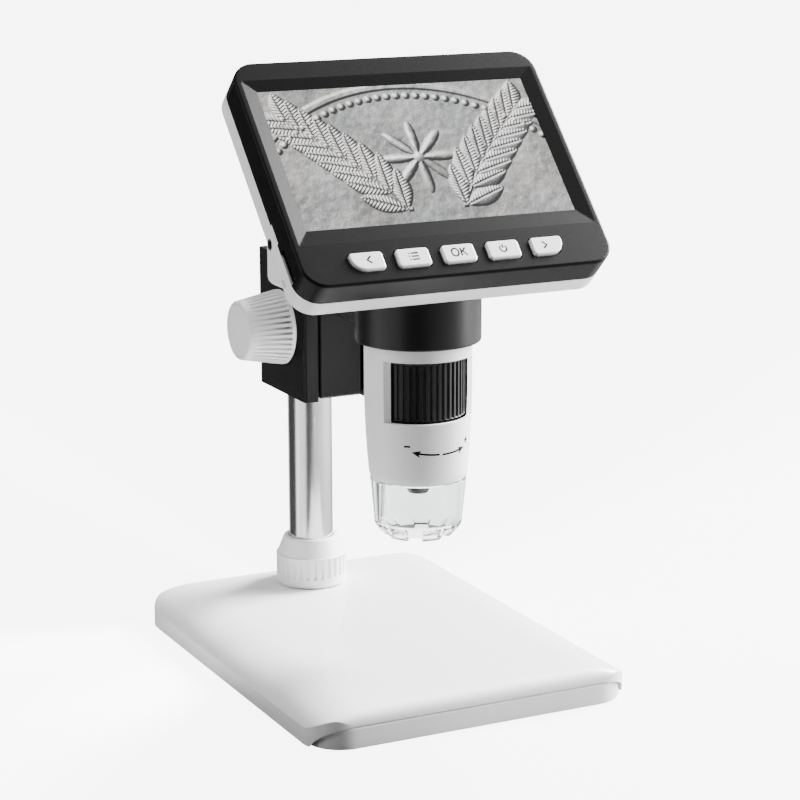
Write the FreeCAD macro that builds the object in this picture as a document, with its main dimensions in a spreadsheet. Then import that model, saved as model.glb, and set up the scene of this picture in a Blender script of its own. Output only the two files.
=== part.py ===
import FreeCAD, Part
import math
import os
import re

import Sketcher

# Desktop digital microscope: a tilted screen head with an optical barrel, held in a ring on a
# rack-and-pinion bracket, on a chromed column that stands on a moulded base.
# Millimetres, +Z up, +Y to the back. The origin is the middle of the footprint, on the table.

doc = FreeCAD.newDocument("DigitalMicroscope")
sheet = doc.addObject("Spreadsheet::Sheet", "Sizes")

SIZES = [
    # base
    ("base_width", 115.2, "base, side to side"),
    ("base_depth", 150.6, "base, front to back"),
    ("base_height", 13.0, "top of the base over the table"),
    ("base_corner", 12.0, "plan radius of the base corners"),
    ("column_back", 19.55, "column axis from the base's back"),
    ("base_lift", 0.7, "gap under the base shell"),
    ("base_wall", 2.4, "thickness of the base shell's roof"),
    ("base_lip", 8.0, "thickness of the shell behind its front and back edges"),
    ("edge_radius", 4.5, "rounding of the front and back top edges"),
    ("skirt_height", 5.4, "height of the upright side strip"),
    ("shoulder_run", 21.0, "half width of the side rounding"),
    ("shoulder_rise", 9.0, "half height of the side rounding"),
    ("shoulder_inset", 20.1, "side rounding's centre from the side"),
    ("arch_run", 12.0, "half width of the tray's rounded side"),
    ("arch_rise", 7.0, "height of the tray's rounded side"),
    ("arch_inset", 13.2, "centre of the tray's rounded side from the side"),
    ("tray_floor", 2.0, "thickness of the tray's floor"),
    ("tray_wall", 2.4, "thickness of the tray's walls"),
    ("foot_radius", 5.0, "rubber foot"),
    ("foot_sunk", 0.9, "depth of a foot's pocket"),
    ("foot_side", 11.6, "foot from the base's side"),
    ("foot_end", 13.3, "foot from the base's front or back"),
    ("boss_radius", 3.4, "screw boss in the base"),
    ("boss_side", 20.6, "screw boss from the base's side"),
    ("boss_end", 19.3, "screw boss from the base's front or back"),
    ("pier_wall", 3.0, "material round the column's foot under the base"),
    ("base_sill", 0.5, "rounding of the base's lower edges"),
    ("room_side", 6.0, "hollow of the base past the flat of its top"),
    ("weight_width", 60.0, "steel weight, side to side"),
    ("weight_depth", 92.0, "steel weight, front to back"),
    ("weight_height", 4.0, "steel weight, thickness"),
    ("weight_ahead", 12.0, "steel weight's centre ahead of the middle"),
    # screws
    ("screw_radius", 1.4, "shank of the small screws"),
    ("screw_head_radius", 2.6, "head of the small screws"),
    ("screw_head_height", 1.1, "head height of the small screws"),
    ("head_sunk", 0.1, "screw heads below the surface around them"),
    ("screw_length", 6.0, "shank length of the base screws"),
    ("bolt_radius", 2.9, "shank of the column bolt"),
    ("bolt_head_radius", 5.0, "head of the column bolt"),
    ("bolt_head_height", 1.9, "head height of the column bolt"),
    ("bolt_grip", 12.0, "bolt's reach into the column plug"),
    # fits
    ("running_gap", 0.05, "radial gap of a turning fit"),
    ("slide_gap", 0.3, "gap beside sliding pieces"),
    ("seat_gap", 0.2, "gap under seated pieces"),
    # column
    ("column_radius", 7.9, "column"),
    ("column_wall", 1.5, "column wall"),
    ("column_length", 159.0, "column"),
    ("column_bore_gap", 0.08, "gap between column and bracket"),
    ("plug_length", 15.0, "threaded plug in the column's foot"),
    ("cap_plate", 1.6, "plate of the column's end cap"),
    ("cap_spigot", 8.0, "spigot of the column's end cap"),
    ("socket_radius", 10.2, "threaded socket around the column's foot"),
    ("socket_height", 12.0, "threaded socket"),
    ("nut_radius", 12.7, "column nut, grip"),
    ("nut_grip_height", 11.2, "column nut, upright part"),
    ("nut_height", 17.6, "column nut, overall"),
    ("nut_top_radius", 9.7, "column nut, top edge"),
    ("nut_shoulder", 0.35, "column nut, step over the grip"),
    ("nut_edge", 0.6, "column nut, top rounding"),
    ("nut_groove_depth", 0.7, "column nut groove"),
    ("nut_groove_width", 1.2, "column nut groove"),
    ("nut_groove_low", 3.6, "column nut groove's lower end over the base"),
    ("nut_groove_count", 30, "column nut grooves"),
    # bracket
    ("bracket_low", 86.3, "underside of the bracket block"),
    ("bracket_height", 49.2, "bracket block"),
    ("bracket_width", 28.0, "bracket block"),
    ("bracket_depth", 39.0, "bracket block"),
    ("bracket_ahead", 27.35, "front of the bracket block ahead of the column axis"),
    ("bracket_corner", 0.9, "bracket block's upright edges"),
    ("plate_width", 16.0, "sliding plate"),
    ("plate_recess", 0.5, "sliding plate's face behind the bracket's"),
    ("plate_thickness", 5.3, "sliding plate in front of its rail"),
    ("plate_groove", 0.9, "gap beside the sliding plate"),
    ("plate_short", 0.7, "sliding plate's end short of the bracket's"),
    ("plate_bevel", 0.6, "bevel round the sliding plate's face"),
    ("plate_corner", 0.9, "sliding plate's corners"),
    ("rail_width", 21.2, "rail of the sliding plate"),
    ("rail_thickness", 3.4, "rail of the sliding plate"),
    ("rack_width", 6.0, "rack"),
    ("rack_seat", 1.4, "depth of the rack's seat in the rail"),
    ("rack_back", 0.45, "rack's root behind the rail"),
    ("gear_module", 0.6, "tooth size"),
    ("gear_teeth", 12, "pinion teeth"),
    ("rack_teeth", 24, "rack teeth"),
    ("tooth_thin", 0.24, "tooth narrower than half its pitch"),
    ("tooth_root_gap", 0.25, "room under the teeth"),
    ("pinion_rise", 24.9, "pinion axis over the bracket's underside"),
    ("pinion_room", 0.3, "room around the pinion"),
    ("shaft_radius", 2.3, "pinion shaft"),
    ("shaft_cover", 2.5, "knob's material past the shaft's end"),
    ("bush_radius", 3.7, "shaft bush"),
    ("grub_radius", 2.0, "grub screw that locks the bracket"),
    ("grub_length", 3.2, "grub screw"),
    ("grub_low", 10.0, "lower grub screw over the bracket's underside"),
    ("grub_spacing", 28.0, "between the grub screws"),
    # knobs
    ("knob_inset", 2.3, "knob from the bracket's side"),
    ("knob_length", 16.6, "knob"),
    ("knob_radius", 13.05, "knob's inner end"),
    ("knob_end_radius", 10.2, "knob's outer end"),
    ("knob_flange", 1.5, "plain ring at the knob's inner end"),
    ("knob_edge", 0.9, "knob's outer edge rounding"),
    ("knob_lip", 0.4, "bevel of the knob's inner rim"),
    ("disc_edge", 0.3, "bevel of the knob's disc"),
    ("washer_gap", 0.1, "gap each side of a friction washer"),
    ("knob_rib_count", 40, "knob ribs"),
    ("knob_groove_width", 0.85, "knob groove"),
    ("knob_groove_radius", 10.5, "bottom of the knob grooves"),
    ("knob_disc_radius", 9.0, "disc in the knob's end"),
    ("knob_disc_depth", 1.2, "disc in the knob's end"),
    ("knob_spacer_radius", 7.5, "friction washer behind the knob"),
    # holder ring
    ("axis_ahead", 86.25, "optical axis ahead of the column axis"),
    ("ring_rise", 32.4, "underside of the holder ring over the bracket's underside"),
    ("ring_height", 16.4, "holder ring"),
    ("ring_radius", 20.6, "holder ring, outside"),
    ("ring_edge", 0.8, "holder ring's edge rounding"),
    ("arm_width", 15.0, "arm of the holder ring"),
    ("arm_height", 15.4, "arm of the holder ring"),
    ("holder_screw_x", 5.4, "holder screw from the centre line"),
    ("holder_screw_low", 4.0, "holder screw over the arm's underside"),
    ("holder_screw_spacing", 7.4, "between the holder screws"),
    ("holder_screw_length", 11.0, "holder screw's shank"),
    # barrel
    ("barrel_radius", 17.66, "barrel's neck"),
    ("barrel_length", 63.5, "barrel below the head"),
    ("barrel_curve", 300.0, "radius of the barrel's lower taper"),
    ("barrel_taper", 31.5, "height of the tapered part"),
    ("barrel_wall", 1.6, "barrel wall"),
    ("shoulder_width", 1.6, "shoulder that rests on the holder ring"),
    ("shoulder_height", 1.5, "shoulder that rests on the holder ring"),
    ("barrel_flange_radius", 20.6, "flange inside the head"),
    ("barrel_flange_height", 1.5, "flange inside the head"),
    ("barrel_screw_count", 4, "screws of the barrel's flange"),
    ("barrel_screw_circle", 19.1, "radius of their circle"),
    ("nose_bore", 14.2, "bore at the barrel's lower end"),
    ("window_low", 20.8, "window over the barrel's lower end"),
    ("window_height", 20.2, "window"),
    ("window_half_angle", 66.0, "window, each side of the front"),
    ("sensor_ledge", 47.0, "sensor ledge over the barrel's lower end"),
    ("sensor_ledge_height", 1.6, "sensor ledge"),
    ("sensor_ledge_bore", 11.0, "sensor ledge"),
    # focus and optics
    ("focus_radius", 15.45, "focus ring, outside"),
    ("focus_bore", 11.95, "focus ring, bore"),
    ("focus_edge", 0.4, "bevel of the focus ring's rims"),
    ("focus_rib_count", 46, "focus ring ribs"),
    ("focus_groove_depth", 0.55, "focus ring groove"),
    ("focus_groove_width", 0.95, "focus ring groove"),
    ("track_radius", 13.1, "pin track inside the focus ring"),
    ("track_height", 9.0, "pin track inside the focus ring"),
    ("guide_radius", 11.85, "guide tube, outside"),
    ("guide_bore", 10.55, "guide tube, bore"),
    ("guide_low", 13.0, "guide tube over the barrel's lower end"),
    ("pin_radius", 1.0, "pin of the lens carriage"),
    ("pin_reach", 12.8, "end of the pins from the axis"),
    ("lens_travel", 3.0, "lens carriage, each way"),
    ("carriage_radius", 10.5, "lens carriage"),
    ("carriage_low", 11.5, "wide part of the carriage over the barrel's lower end"),
    ("carriage_length", 24.0, "wide part of the carriage"),
    ("carriage_wall", 1.4, "wall of the lens carriage"),
    ("lens_nose_radius", 4.45, "lens nose"),
    ("nose_edge", 0.3, "bevel of the lens nose"),
    ("lens_nose_drop", 5.1, "lens nose below the barrel's lower end"),
    ("lens_radius", 3.2, "objective lenses"),
    ("lens_thickness", 2.2, "objective lenses"),
    ("lens_sag", 0.5, "objective lens faces, depth of the curve"),
    ("lens_curve", 9.6, "objective lens faces, radius"),
    ("lens_flat", 0.3, "objective lens faces, flat middle"),
    ("lens_spacing", 4.2, "between the objective lenses"),
    ("lens_face", 1.0, "front lens behind the nose's end"),
    ("lens_aperture", 2.3, "opening in the nose's end"),
    ("led_board_rise", 1.9, "lamp board over the barrel's lower end"),
    ("led_board_thickness", 1.2, "lamp board"),
    ("led_board_bore", 5.2, "lamp board"),
    ("led_count", 8, "lamps"),
    ("led_circle", 9.4, "radius of the lamp circle"),
    ("led_width", 3.0, "lamp"),
    ("led_height", 1.0, "lamp"),
    ("board_thickness", 1.2, "circuit boards"),
    ("sensor_board_gap", 1.2, "gap round the sensor board"),
    ("chip_width", 7.0, "image sensor"),
    ("chip_height", 1.1, "image sensor"),
    # clear cap
    ("cap_radius", 15.85, "clear cap's upper edge"),
    ("cap_corner_radius", 14.35, "clear cap's lower corner"),
    ("cap_corner_drop", 15.9, "clear cap's lower corner below the barrel"),
    ("cap_end_radius", 10.9, "clear cap's lower rim"),
    ("cap_length", 19.7, "clear cap"),
    ("cap_wall", 1.6, "clear cap wall"),
    ("cap_spigot_wall", 1.12, "clear cap, wall of its spigot"),
    ("cap_spigot_height", 1.4, "clear cap's spigot in the barrel"),
    ("cap_mouth_radius", 9.2, "opening in the clear cap's end"),
    ("cap_notch_depth", 1.3, "notches in the clear cap's rim"),
    ("cap_notch_width", 5.2, "notches in the clear cap's rim"),
    ("cap_notch_count", 6, "notches in the clear cap's rim"),
    ("cap_turn", -33, "turn of the notches from the front, degrees"),
    # head
    ("head_tilt", 46.55, "tilt of the screen from upright, degrees"),
    ("screen_ahead", 0.28, "screen centre behind the optical axis"),
    ("screen_rise", 42.8, "screen centre over the head's underside"),
    ("head_corner", 8.0, "corner radius of the head"),
    ("face_height", 1.4, "face of the bezel over the screen"),
    ("face_edge", 0.8, "bevel round the bezel's face"),
    ("seam_depth", 8.0, "seam between the shells behind the screen"),
    ("seam_gap", 0.05, "seam between the shells"),
    ("rear_depth", 15.0, "back of the rear shell behind the screen"),
    ("rear_edge", 1.2, "rounding of the rear shell's edge"),
    ("bezel_wall", 1.6, "bezel's walls"),
    ("bezel_back", 0.2, "back of the bezel's face behind the picture"),
    ("display_front", 0.3, "screen module's face behind the picture"),
    ("shell_wall", 1.8, "rear shell's walls"),
    ("screen_half_width", 47.52, "shown picture"),
    ("screen_half_height", 26.93, "shown picture"),
    ("display_side", 3.08, "screen module's border beside the picture"),
    ("display_ends", 4.67, "screen module's border above and below the picture"),
    ("head_side", 3.7, "head past the screen module, to the side"),
    ("head_over", 6.1, "head past the screen module, upwards"),
    ("head_under", 16.6, "head past the screen module, downwards"),
    ("slope_side", 4.76, "width of the slope beside the picture"),
    ("slope_top", 3.85, "width of the slope above the picture"),
    ("slope_bottom", 5.97, "width of the slope below the picture"),
    ("slope_foot", 0.35, "foot of the slope over the screen"),
    ("hump_half_width", 44.0, "hump on the head's back"),
    ("hump_back", 25.0, "hump's back from the optical axis"),
    ("hump_corner", 6.0, "hump's upright edges"),
    ("hump_edge", 3.0, "hump's lower edge"),
    ("hump_floor", 2.0, "hump's floor"),
    ("display_thickness", 3.0, "screen module"),
    ("board_side", 0.8, "main board short of the screen module, to the side"),
    ("board_ends", 2.6, "main board short of the screen module, up and down"),
    ("post_side", 2.8, "main board's posts from its sides"),
    ("post_ends", 3.5, "main board's posts from its ends"),
    ("board_screw_length", 3.5, "shank of the main board's screws"),
    ("board_depth", 3.6, "front of the main board behind the screen"),
    ("post_radius", 2.0, "posts inside the head"),
    ("processor_width", 14.0, "processor on the main board"),
    ("processor_height", 1.4, "processor on the main board"),
    ("battery_width", 50.0, "battery"),
    ("battery_height", 26.0, "battery"),
    ("battery_thickness", 7.0, "battery"),
    ("battery_rise", 12.0, "battery over the hump's floor"),
    ("head_screw_side", 6.9, "head screws from the head's side"),
    ("head_screw_over", 3.7, "upper head screws from the head's top"),
    ("head_screw_under", 4.0, "lower head screws from the head's bottom"),
    ("sleeve_wall", 0.2, "wall of the rear shell's screw sleeves round a head"),
    ("boss_wall", 0.1, "bezel's screw bosses past a screw head"),
    ("head_screw_radius", 0.9, "head screws"),
    ("head_screw_head", 1.6, "head screws, head radius"),
    ("head_screw_length", 9.5, "head screws"),
    # keys
    ("key_pitch", 15.8, "between the keys"),
    ("key_shift", -0.4, "middle key from the centre line"),
    ("key_drop", 40.6, "keys below the screen centre"),
    ("key_width", 11.3, "key"),
    ("key_height", 6.5, "key"),
    ("key_corner", 1.2, "key's corner radius"),
    ("key_sweep", 4.9, "large corner of the outer keys"),
    ("key_edge", 0.6, "rounding of a key's top"),
    ("key_proud", 0.95, "key over the bezel's face"),
    ("key_gap", 0.42, "gap round a key"),
    ("key_board_past", 0.7, "key board past the outer switch, to the right"),
    ("key_board_side", 9.3, "key board short of the head's side, to the left"),
    ("key_flange", 0.6, "flange behind the bezel"),
    ("key_flange_height", 0.6, "flange behind the bezel"),
    ("key_stem_radius", 1.2, "key's stem"),
    ("key_stem_end", 2.1, "key's stem ends behind the screen"),
    ("switch_top", 2.7, "top of the switches behind the screen"),
    ("switch_width", 4.5, "switch body"),
    ("switch_height", 1.5, "switch body"),
    ("switch_button", 0.5, "switch's own button"),
    ("key_board_height", 7.6, "key board"),
    # sockets
    ("inlet_drop", 22.0, "power inlet below the screen centre"),
    ("inlet_depth", 12.9, "power inlet behind the screen"),
    ("inlet_radius", 1.95, "power inlet's sleeve"),
    ("inlet_bore", 1.5, "power inlet's opening"),
    ("inlet_pin", 0.5, "power inlet's pin"),
    ("inlet_length", 8.0, "power inlet"),
    ("inlet_tab", 7.2, "raised seam by the power inlet"),
    ("inlet_tab_rise", 0.9, "raised seam by the power inlet"),
    ("tab_room", 0.1, "gap round the raised seam"),
    ("inlet_wall", 0.9, "wall of the boss round the power inlet"),
    ("inlet_inset", 0.15, "power inlet behind the side face"),
    ("inlet_pin_inset", 0.8, "power inlet's pin behind its mouth"),
    ("card_drop", 35.0, "card slot below the screen centre"),
    ("card_depth", 6.85, "card slot behind the screen"),
    ("card_width", 11.4, "card slot"),
    ("card_height", 0.9, "card slot"),
    ("card_notch", 0.7, "finger notch at the card slot"),
    ("card_socket_width", 13.6, "card socket"),
    ("card_socket_length", 14.0, "card socket"),
    ("card_socket_height", 1.9, "card socket"),
]

for row, (name, value, note) in enumerate(SIZES, 1):
    sheet.set(f"A{row}", note)
    sheet.set(f"B{row}", str(value))
    sheet.setAlias(f"B{row}", name)
doc.recompute()

# Sizes that follow from others
LINKED = {
    "column_y": "base_depth / 2 - column_back",
    "axis_y": "column_y - axis_ahead",
    "bracket_front": "column_y - bracket_ahead",
    "foot_x": "base_width / 2 - foot_side",
    "foot_y": "base_depth / 2 - foot_end",
    "boss_x": "base_width / 2 - boss_side",
    "boss_y": "base_depth / 2 - boss_end",
    "shaft_length": "bracket_width + 2 * (knob_inset + knob_length - knob_disc_depth - shaft_cover - seat_gap)",
    "display_half_width": "screen_half_width + display_side",
    "display_half_height": "screen_half_height + display_ends",
    "head_half_width": "display_half_width + head_side",
    "head_top": "display_half_height + head_over",
    "head_bottom": "display_half_height + head_under",
    "board_half_width": "display_half_width - board_side",
    "board_half_height": "display_half_height - board_ends",
    "board_post_x": "board_half_width - post_side",
    "board_post_y": "board_half_height - post_ends",
    "head_screw_x": "head_half_width - head_screw_side",
    "head_screw_top": "head_top - head_screw_over",
    "head_screw_bottom": "head_bottom - head_screw_under",
    "hump_height": "head_top + head_bottom",
    "key_board_right": "key_shift + 2 * key_pitch + key_width / 2 + key_board_past",
    "key_board_left": "head_half_width - key_board_side",
}
ALIASES = {name for name, _, _ in SIZES}
probe = doc.addObject("App::FeaturePython", "Probe")
WORD = re.compile(r"[A-Za-z_]\w*")
X_AXIS = FreeCAD.Vector(1, 0, 0)
Y_AXIS = FreeCAD.Vector(0, 1, 0)
Z_AXIS = FreeCAD.Vector(0, 0, 1)

# Places that several pieces share, as expressions on the sheet
COLUMN_FOOT = "base_height"
TRAY_TOP = "(base_lift + arch_rise)"
FLOOR_TOP = "(base_lift + tray_floor)"
BRACKET_TOP = "(bracket_low + bracket_height)"
BRACKET_BACK = "(bracket_front + bracket_depth)"
PLATE_FRONT = "(bracket_front + plate_recess)"
RAIL_FRONT = f"({PLATE_FRONT} + plate_thickness)"
RAIL_BACK = f"({RAIL_FRONT} + rail_thickness)"
RACK_ROOT = f"({RAIL_BACK} + rack_back)"
TOOTH_HEIGHT = "(2 * gear_module + tooth_root_gap)"
PITCH_RADIUS = "(gear_module * gear_teeth / 2)"
TOOTH_PITCH = "(gear_module * pi)"
PINION_Y = f"({RACK_ROOT} + tooth_root_gap + gear_module + {PITCH_RADIUS})"
PINION_Z = "(bracket_low + pinion_rise)"
RING_LOW = "(bracket_low + ring_rise)"
RING_TOP = f"({RING_LOW} + ring_height)"
HEAD_LOW = f"({RING_TOP} + seat_gap + shoulder_height)"
BARREL_LOW = f"({HEAD_LOW} - barrel_length)"
NOSE_LOW = f"({BARREL_LOW} - lens_nose_drop)"
WINDOW_LOW = f"({BARREL_LOW} + window_low)"
WINDOW_TOP = f"({WINDOW_LOW} + window_height)"
LEDGE_LOW = f"({BARREL_LOW} + sensor_ledge)"
LEDGE_TOP = f"({LEDGE_LOW} + sensor_ledge_height)"
FOCUS_LOW = f"({WINDOW_LOW} + slide_gap)"
FOCUS_TOP = f"({WINDOW_TOP} - slide_gap)"
TRACK_MIDDLE = f"(({FOCUS_LOW} + {FOCUS_TOP}) / 2)"
CARRIAGE_LOW = f"({BARREL_LOW} + carriage_low)"
LAMP_BOARD = f"({BARREL_LOW} + led_board_rise)"
CAP_TOP = f"({BARREL_LOW} - seat_gap)"
HEAD_Y = "(axis_y + screen_ahead)"
HEAD_Z = f"({HEAD_LOW} + screen_rise)"


def bound(text):
    """Return an expression as the document reads it: aliases get their sheet, linked sizes are written out."""
    def swap(word):
        if word[0] in LINKED:
            return bound(f"({LINKED[word[0]]})")
        return "Sizes." + word[0] if word[0] in ALIASES else word[0]
    return WORD.sub(swap, str(text))


def number(text):
    """Return the value of an expression on the sheet's aliases."""
    return float(probe.evalExpression(bound(text)))


def bind(thing, prop, text):
    """Bind one property to an expression on the sheet's aliases."""
    thing.setExpression(prop, bound(text))


def place(thing, x, y, z, axis=Z_AXIS, angle=0.0):
    """Put a thing at a point, turned about one axis by a plain angle."""
    thing.Placement = FreeCAD.Placement(FreeCAD.Vector(number(x), number(y), number(z)),
                                        FreeCAD.Rotation(axis, angle))
    bind(thing, "Placement.Base.x", x)
    bind(thing, "Placement.Base.y", y)
    bind(thing, "Placement.Base.z", z)
    return thing


def place_on_head(thing, x, up, out, extra=0):
    """Put a thing at a point of the tilted screen's own frame: across, up the face, out of the face."""
    y = f"{HEAD_Y} + ({up}) * cos(head_tilt) - ({out}) * sin(head_tilt)"
    z = f"{HEAD_Z} + ({up}) * sin(head_tilt) + ({out}) * cos(head_tilt)"
    place(thing, x, y, z, X_AXIS, number("head_tilt") + extra)
    bind(thing, "Placement.Rotation.Angle", f"head_tilt + {extra}")
    return thing


def box(name, x, y, z, on_head=False):
    """Return a box from three pairs of expressions, its low and high sides."""
    thing = doc.addObject("Part::Box", name)
    bind(thing, "Length", f"({x[1]}) - ({x[0]})")
    bind(thing, "Width", f"({y[1]}) - ({y[0]})")
    bind(thing, "Height", f"({z[1]}) - ({z[0]})")
    put = place_on_head if on_head else place
    return put(thing, x[0], y[0], z[0])


def cylinder(name, radius, start, length, along="z", on_head=False):
    """Return a cylinder from the middle of its first face, along x, y or z."""
    thing = doc.addObject("Part::Cylinder", name)
    bind(thing, "Radius", radius)
    bind(thing, "Height", length)
    if on_head:
        return place_on_head(thing, *start)
    turn = {"x": (Y_AXIS, 90), "y": (X_AXIS, -90), "z": (Z_AXIS, 0)}[along]
    return place(thing, *start, *turn)


def fuse(name, *things):
    """Return the union of things."""
    thing = doc.addObject("Part::MultiFuse", name)
    thing.Shapes = list(things)
    return thing


def common(name, *things):
    """Return what all the things share."""
    thing = doc.addObject("Part::MultiCommon", name)
    thing.Shapes = list(things)
    return thing


def cut(name, base, *tools):
    """Return the base without the tools."""
    thing = doc.addObject("Part::Cut", name)
    thing.Base = base
    thing.Tool = tools[0] if len(tools) == 1 else fuse(name + "_tools", *tools)
    return thing


def sketch_on(body, plane, corners, arcs=None, lift="0"):
    """Return a closed sketch on an origin plane of the body, or lifted off it.

    Each corner is a pair of expressions. arcs maps the number of a corner to the radius of the
    arc that leaves it for the next corner, bulging to the right of the way round.
    """
    arcs = arcs or {}
    sketch = body.newObject("Sketcher::SketchObject", body.Name + "_sketch")
    support = [item for item in body.Origin.OriginFeatures if item.Role == plane + "_Plane"][0]
    sketch.AttachmentSupport = [(support, "")]
    sketch.MapMode = "FlatFace"
    bind(sketch, "AttachmentOffset.Base.z", lift)
    points = [FreeCAD.Vector(number(x), number(y), 0) for x, y in corners]
    starts, ends = [], []
    for i, first in enumerate(points):
        last = points[(i + 1) % len(points)]
        if i in arcs:
            radius = number(arcs[i])
            chord = last - first
            half = chord.Length / 2
            right = FreeCAD.Vector(chord.y, -chord.x, 0).normalize()
            rise = radius - math.sqrt(max(radius * radius - half * half, 0.0))
            middle = (first + last) * 0.5 + right * rise
            sketch.addGeometry(Part.Arc(first, middle, last), False)
        else:
            sketch.addGeometry(Part.LineSegment(first, last), False)
        flipped = (sketch.getPoint(i, 1) - first).Length > (sketch.getPoint(i, 2) - first).Length
        starts.append(2 if flipped else 1)
        ends.append(1 if flipped else 2)
    for i, (x, y) in enumerate(corners):
        after = (i + 1) % len(points)
        sketch.addConstraint(Sketcher.Constraint("Coincident", i, ends[i], after, starts[after]))
        for kind, value, text in (("DistanceX", points[i].x, x), ("DistanceY", points[i].y, y)):
            index = sketch.addConstraint(Sketcher.Constraint(kind, -1, 1, i, starts[i], value))
            bind(sketch, f"Constraints[{index}]", text)
        if i in arcs:
            index = sketch.addConstraint(Sketcher.Constraint("Radius", i, number(arcs[i])))
            bind(sketch, f"Constraints[{index}]", arcs[i])
    return sketch


def pad(body, sketch, length, reverse=False):
    """Add a pad of a sketch to its body."""
    feature = body.newObject("PartDesign::Pad", body.Name + "_pad")
    feature.Profile = sketch
    feature.Reversed = reverse
    bind(feature, "Length", length)
    return feature


def pocket(body, sketch, length, reverse=False):
    """Cut a sketch's pocket into its body, and make sure that it removes something."""
    doc.recompute()
    before = body.Shape.Volume
    feature = body.newObject("PartDesign::Pocket", body.Name + "_pocket")
    feature.Profile = sketch
    feature.Reversed = reverse
    bind(feature, "Length", length)
    doc.recompute()
    if body.Shape.Volume > before - 1e-6:
        raise ValueError(body.Name + ": a pocket cuts nothing")
    return feature


def around(body, feature, sketch, count):
    """Repeat a feature around the axis that its sketch faces along."""
    pattern = body.newObject("PartDesign::PolarPattern", body.Name + "_pattern")
    pattern.Originals = [feature]
    pattern.Axis = (sketch, ["N_Axis"])
    pattern.Angle = 360
    bind(pattern, "Occurrences", count)
    body.Tip = pattern
    return pattern


def turned(name, corners, arcs=None):
    """Return a body turned about Z from a half section, given as radius and height."""
    body = doc.addObject("PartDesign::Body", name)
    sketch = sketch_on(body, "XZ", corners, arcs)
    feature = body.newObject("PartDesign::Revolution", name + "_turned")
    feature.Profile = sketch
    feature.ReferenceAxis = (sketch, ["V_Axis"])
    feature.Angle = 360
    return body


def tube(name, outer, bore, low, high, x="0", y="axis_y"):
    """Return an upright tube, or washer."""
    body = cut(name, cylinder(name + "_outer", outer, (x, y, low), f"({high}) - ({low})"),
               cylinder(name + "_bore", bore, (x, y, f"{low} - 1"), f"({high}) - ({low}) + 2"))
    return body


def rounded(x, y, radii):
    """Return the corners and arcs of a rectangle whose four corners are rounded.

    x and y are pairs of expressions, and the radii go round to the left from the low corner.
    """
    low, right, high, left = radii
    corners = [(f"{x[0]} + {low}", y[0]), (f"{x[1]} - {right}", y[0]),
               (x[1], f"{y[0]} + {right}"), (x[1], f"{y[1]} - {high}"),
               (f"{x[1]} - {high}", y[1]), (f"{x[0]} + {left}", y[1]),
               (x[0], f"{y[1]} - {left}"), (x[0], f"{y[0]} + {low}")]
    return corners, {1: right, 3: high, 5: left, 7: low}


def slab(name, x, y, radii, thickness):
    """Return a body: a rounded rectangle in the XY plane, padded up from it."""
    body = doc.addObject("PartDesign::Body", name)
    sketch = sketch_on(body, "XY", *rounded(x, y, radii))
    pad(body, sketch, thickness)
    return body


def edge_names(shape, test):
    """Return the names of the edges whose middle passes the test."""
    names = []
    for i, edge in enumerate(shape.Edges, 1):
        if test(edge, edge.valueAt((edge.FirstParameter + edge.LastParameter) / 2)):
            names.append(f"Edge{i}")
    return names


def soften(body, kind, radius, test):
    """Fillet or chamfer the edges of a body that pass the test."""
    doc.recompute()
    tip = body.Tip
    feature = body.newObject("PartDesign::" + kind, body.Name + "_" + kind.lower())
    feature.Base = (tip, edge_names(tip.Shape, test))
    bind(feature, "Radius" if kind == "Fillet" else "Size", radius)
    return body


def both(text):
    """Return the pair of places the same distance either side of the middle."""
    return f"-({text})", f"({text})"


def four(radius):
    """Return one radius for all four corners."""
    return [f"({radius})"] * 4


def elliptic_bar(name, x, z, run, rise, length):
    """Return a solid bar of elliptic section that runs from front to back through the base."""
    ellipse = doc.addObject("Part::Ellipse", name + "_section")
    bind(ellipse, "MajorRadius", run)
    bind(ellipse, "MinorRadius", rise)
    place(ellipse, x, f"-({length}) / 2", z, X_AXIS, 90)
    bar = doc.addObject("Part::Extrusion", name)
    bar.Base = ellipse
    bar.DirMode = "Custom"
    bar.Dir = Y_AXIS
    bind(bar, "LengthFwd", length)
    bar.Solid = True
    return bar


def base_plan(name, low, high):
    """Return the base's plan outline with its rounded corners, between two heights."""
    body = slab(name, both("base_width / 2"), both("base_depth / 2"), four("base_corner"),
                f"({high}) - ({low})")
    return place(body, "0", "0", low)


def tray_arch(name, grow, low):
    """Return the tray's arched section, grown by a gap, along the whole base."""
    middle = "(base_width / 2 - arch_inset)"
    length = "base_depth + 2"
    sides = [elliptic_bar(f"{name}_{side}", f"{sign}{middle}", "base_lift", f"arch_run + {grow}",
                          f"arch_rise + {grow}", length) for side, sign in (("left", "-"), ("right", ""))]
    core = box(name + "_core", both(middle), both(f"({length}) / 2"), (low, f"{TRAY_TOP} + {grow}"))
    return fuse(name, core, *sides)


def boss_places():
    """Return the places of the four screw bosses in the base."""
    return [(f"{x}boss_x", f"{y}boss_y") for x in ("-", "") for y in ("-", "")]


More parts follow.
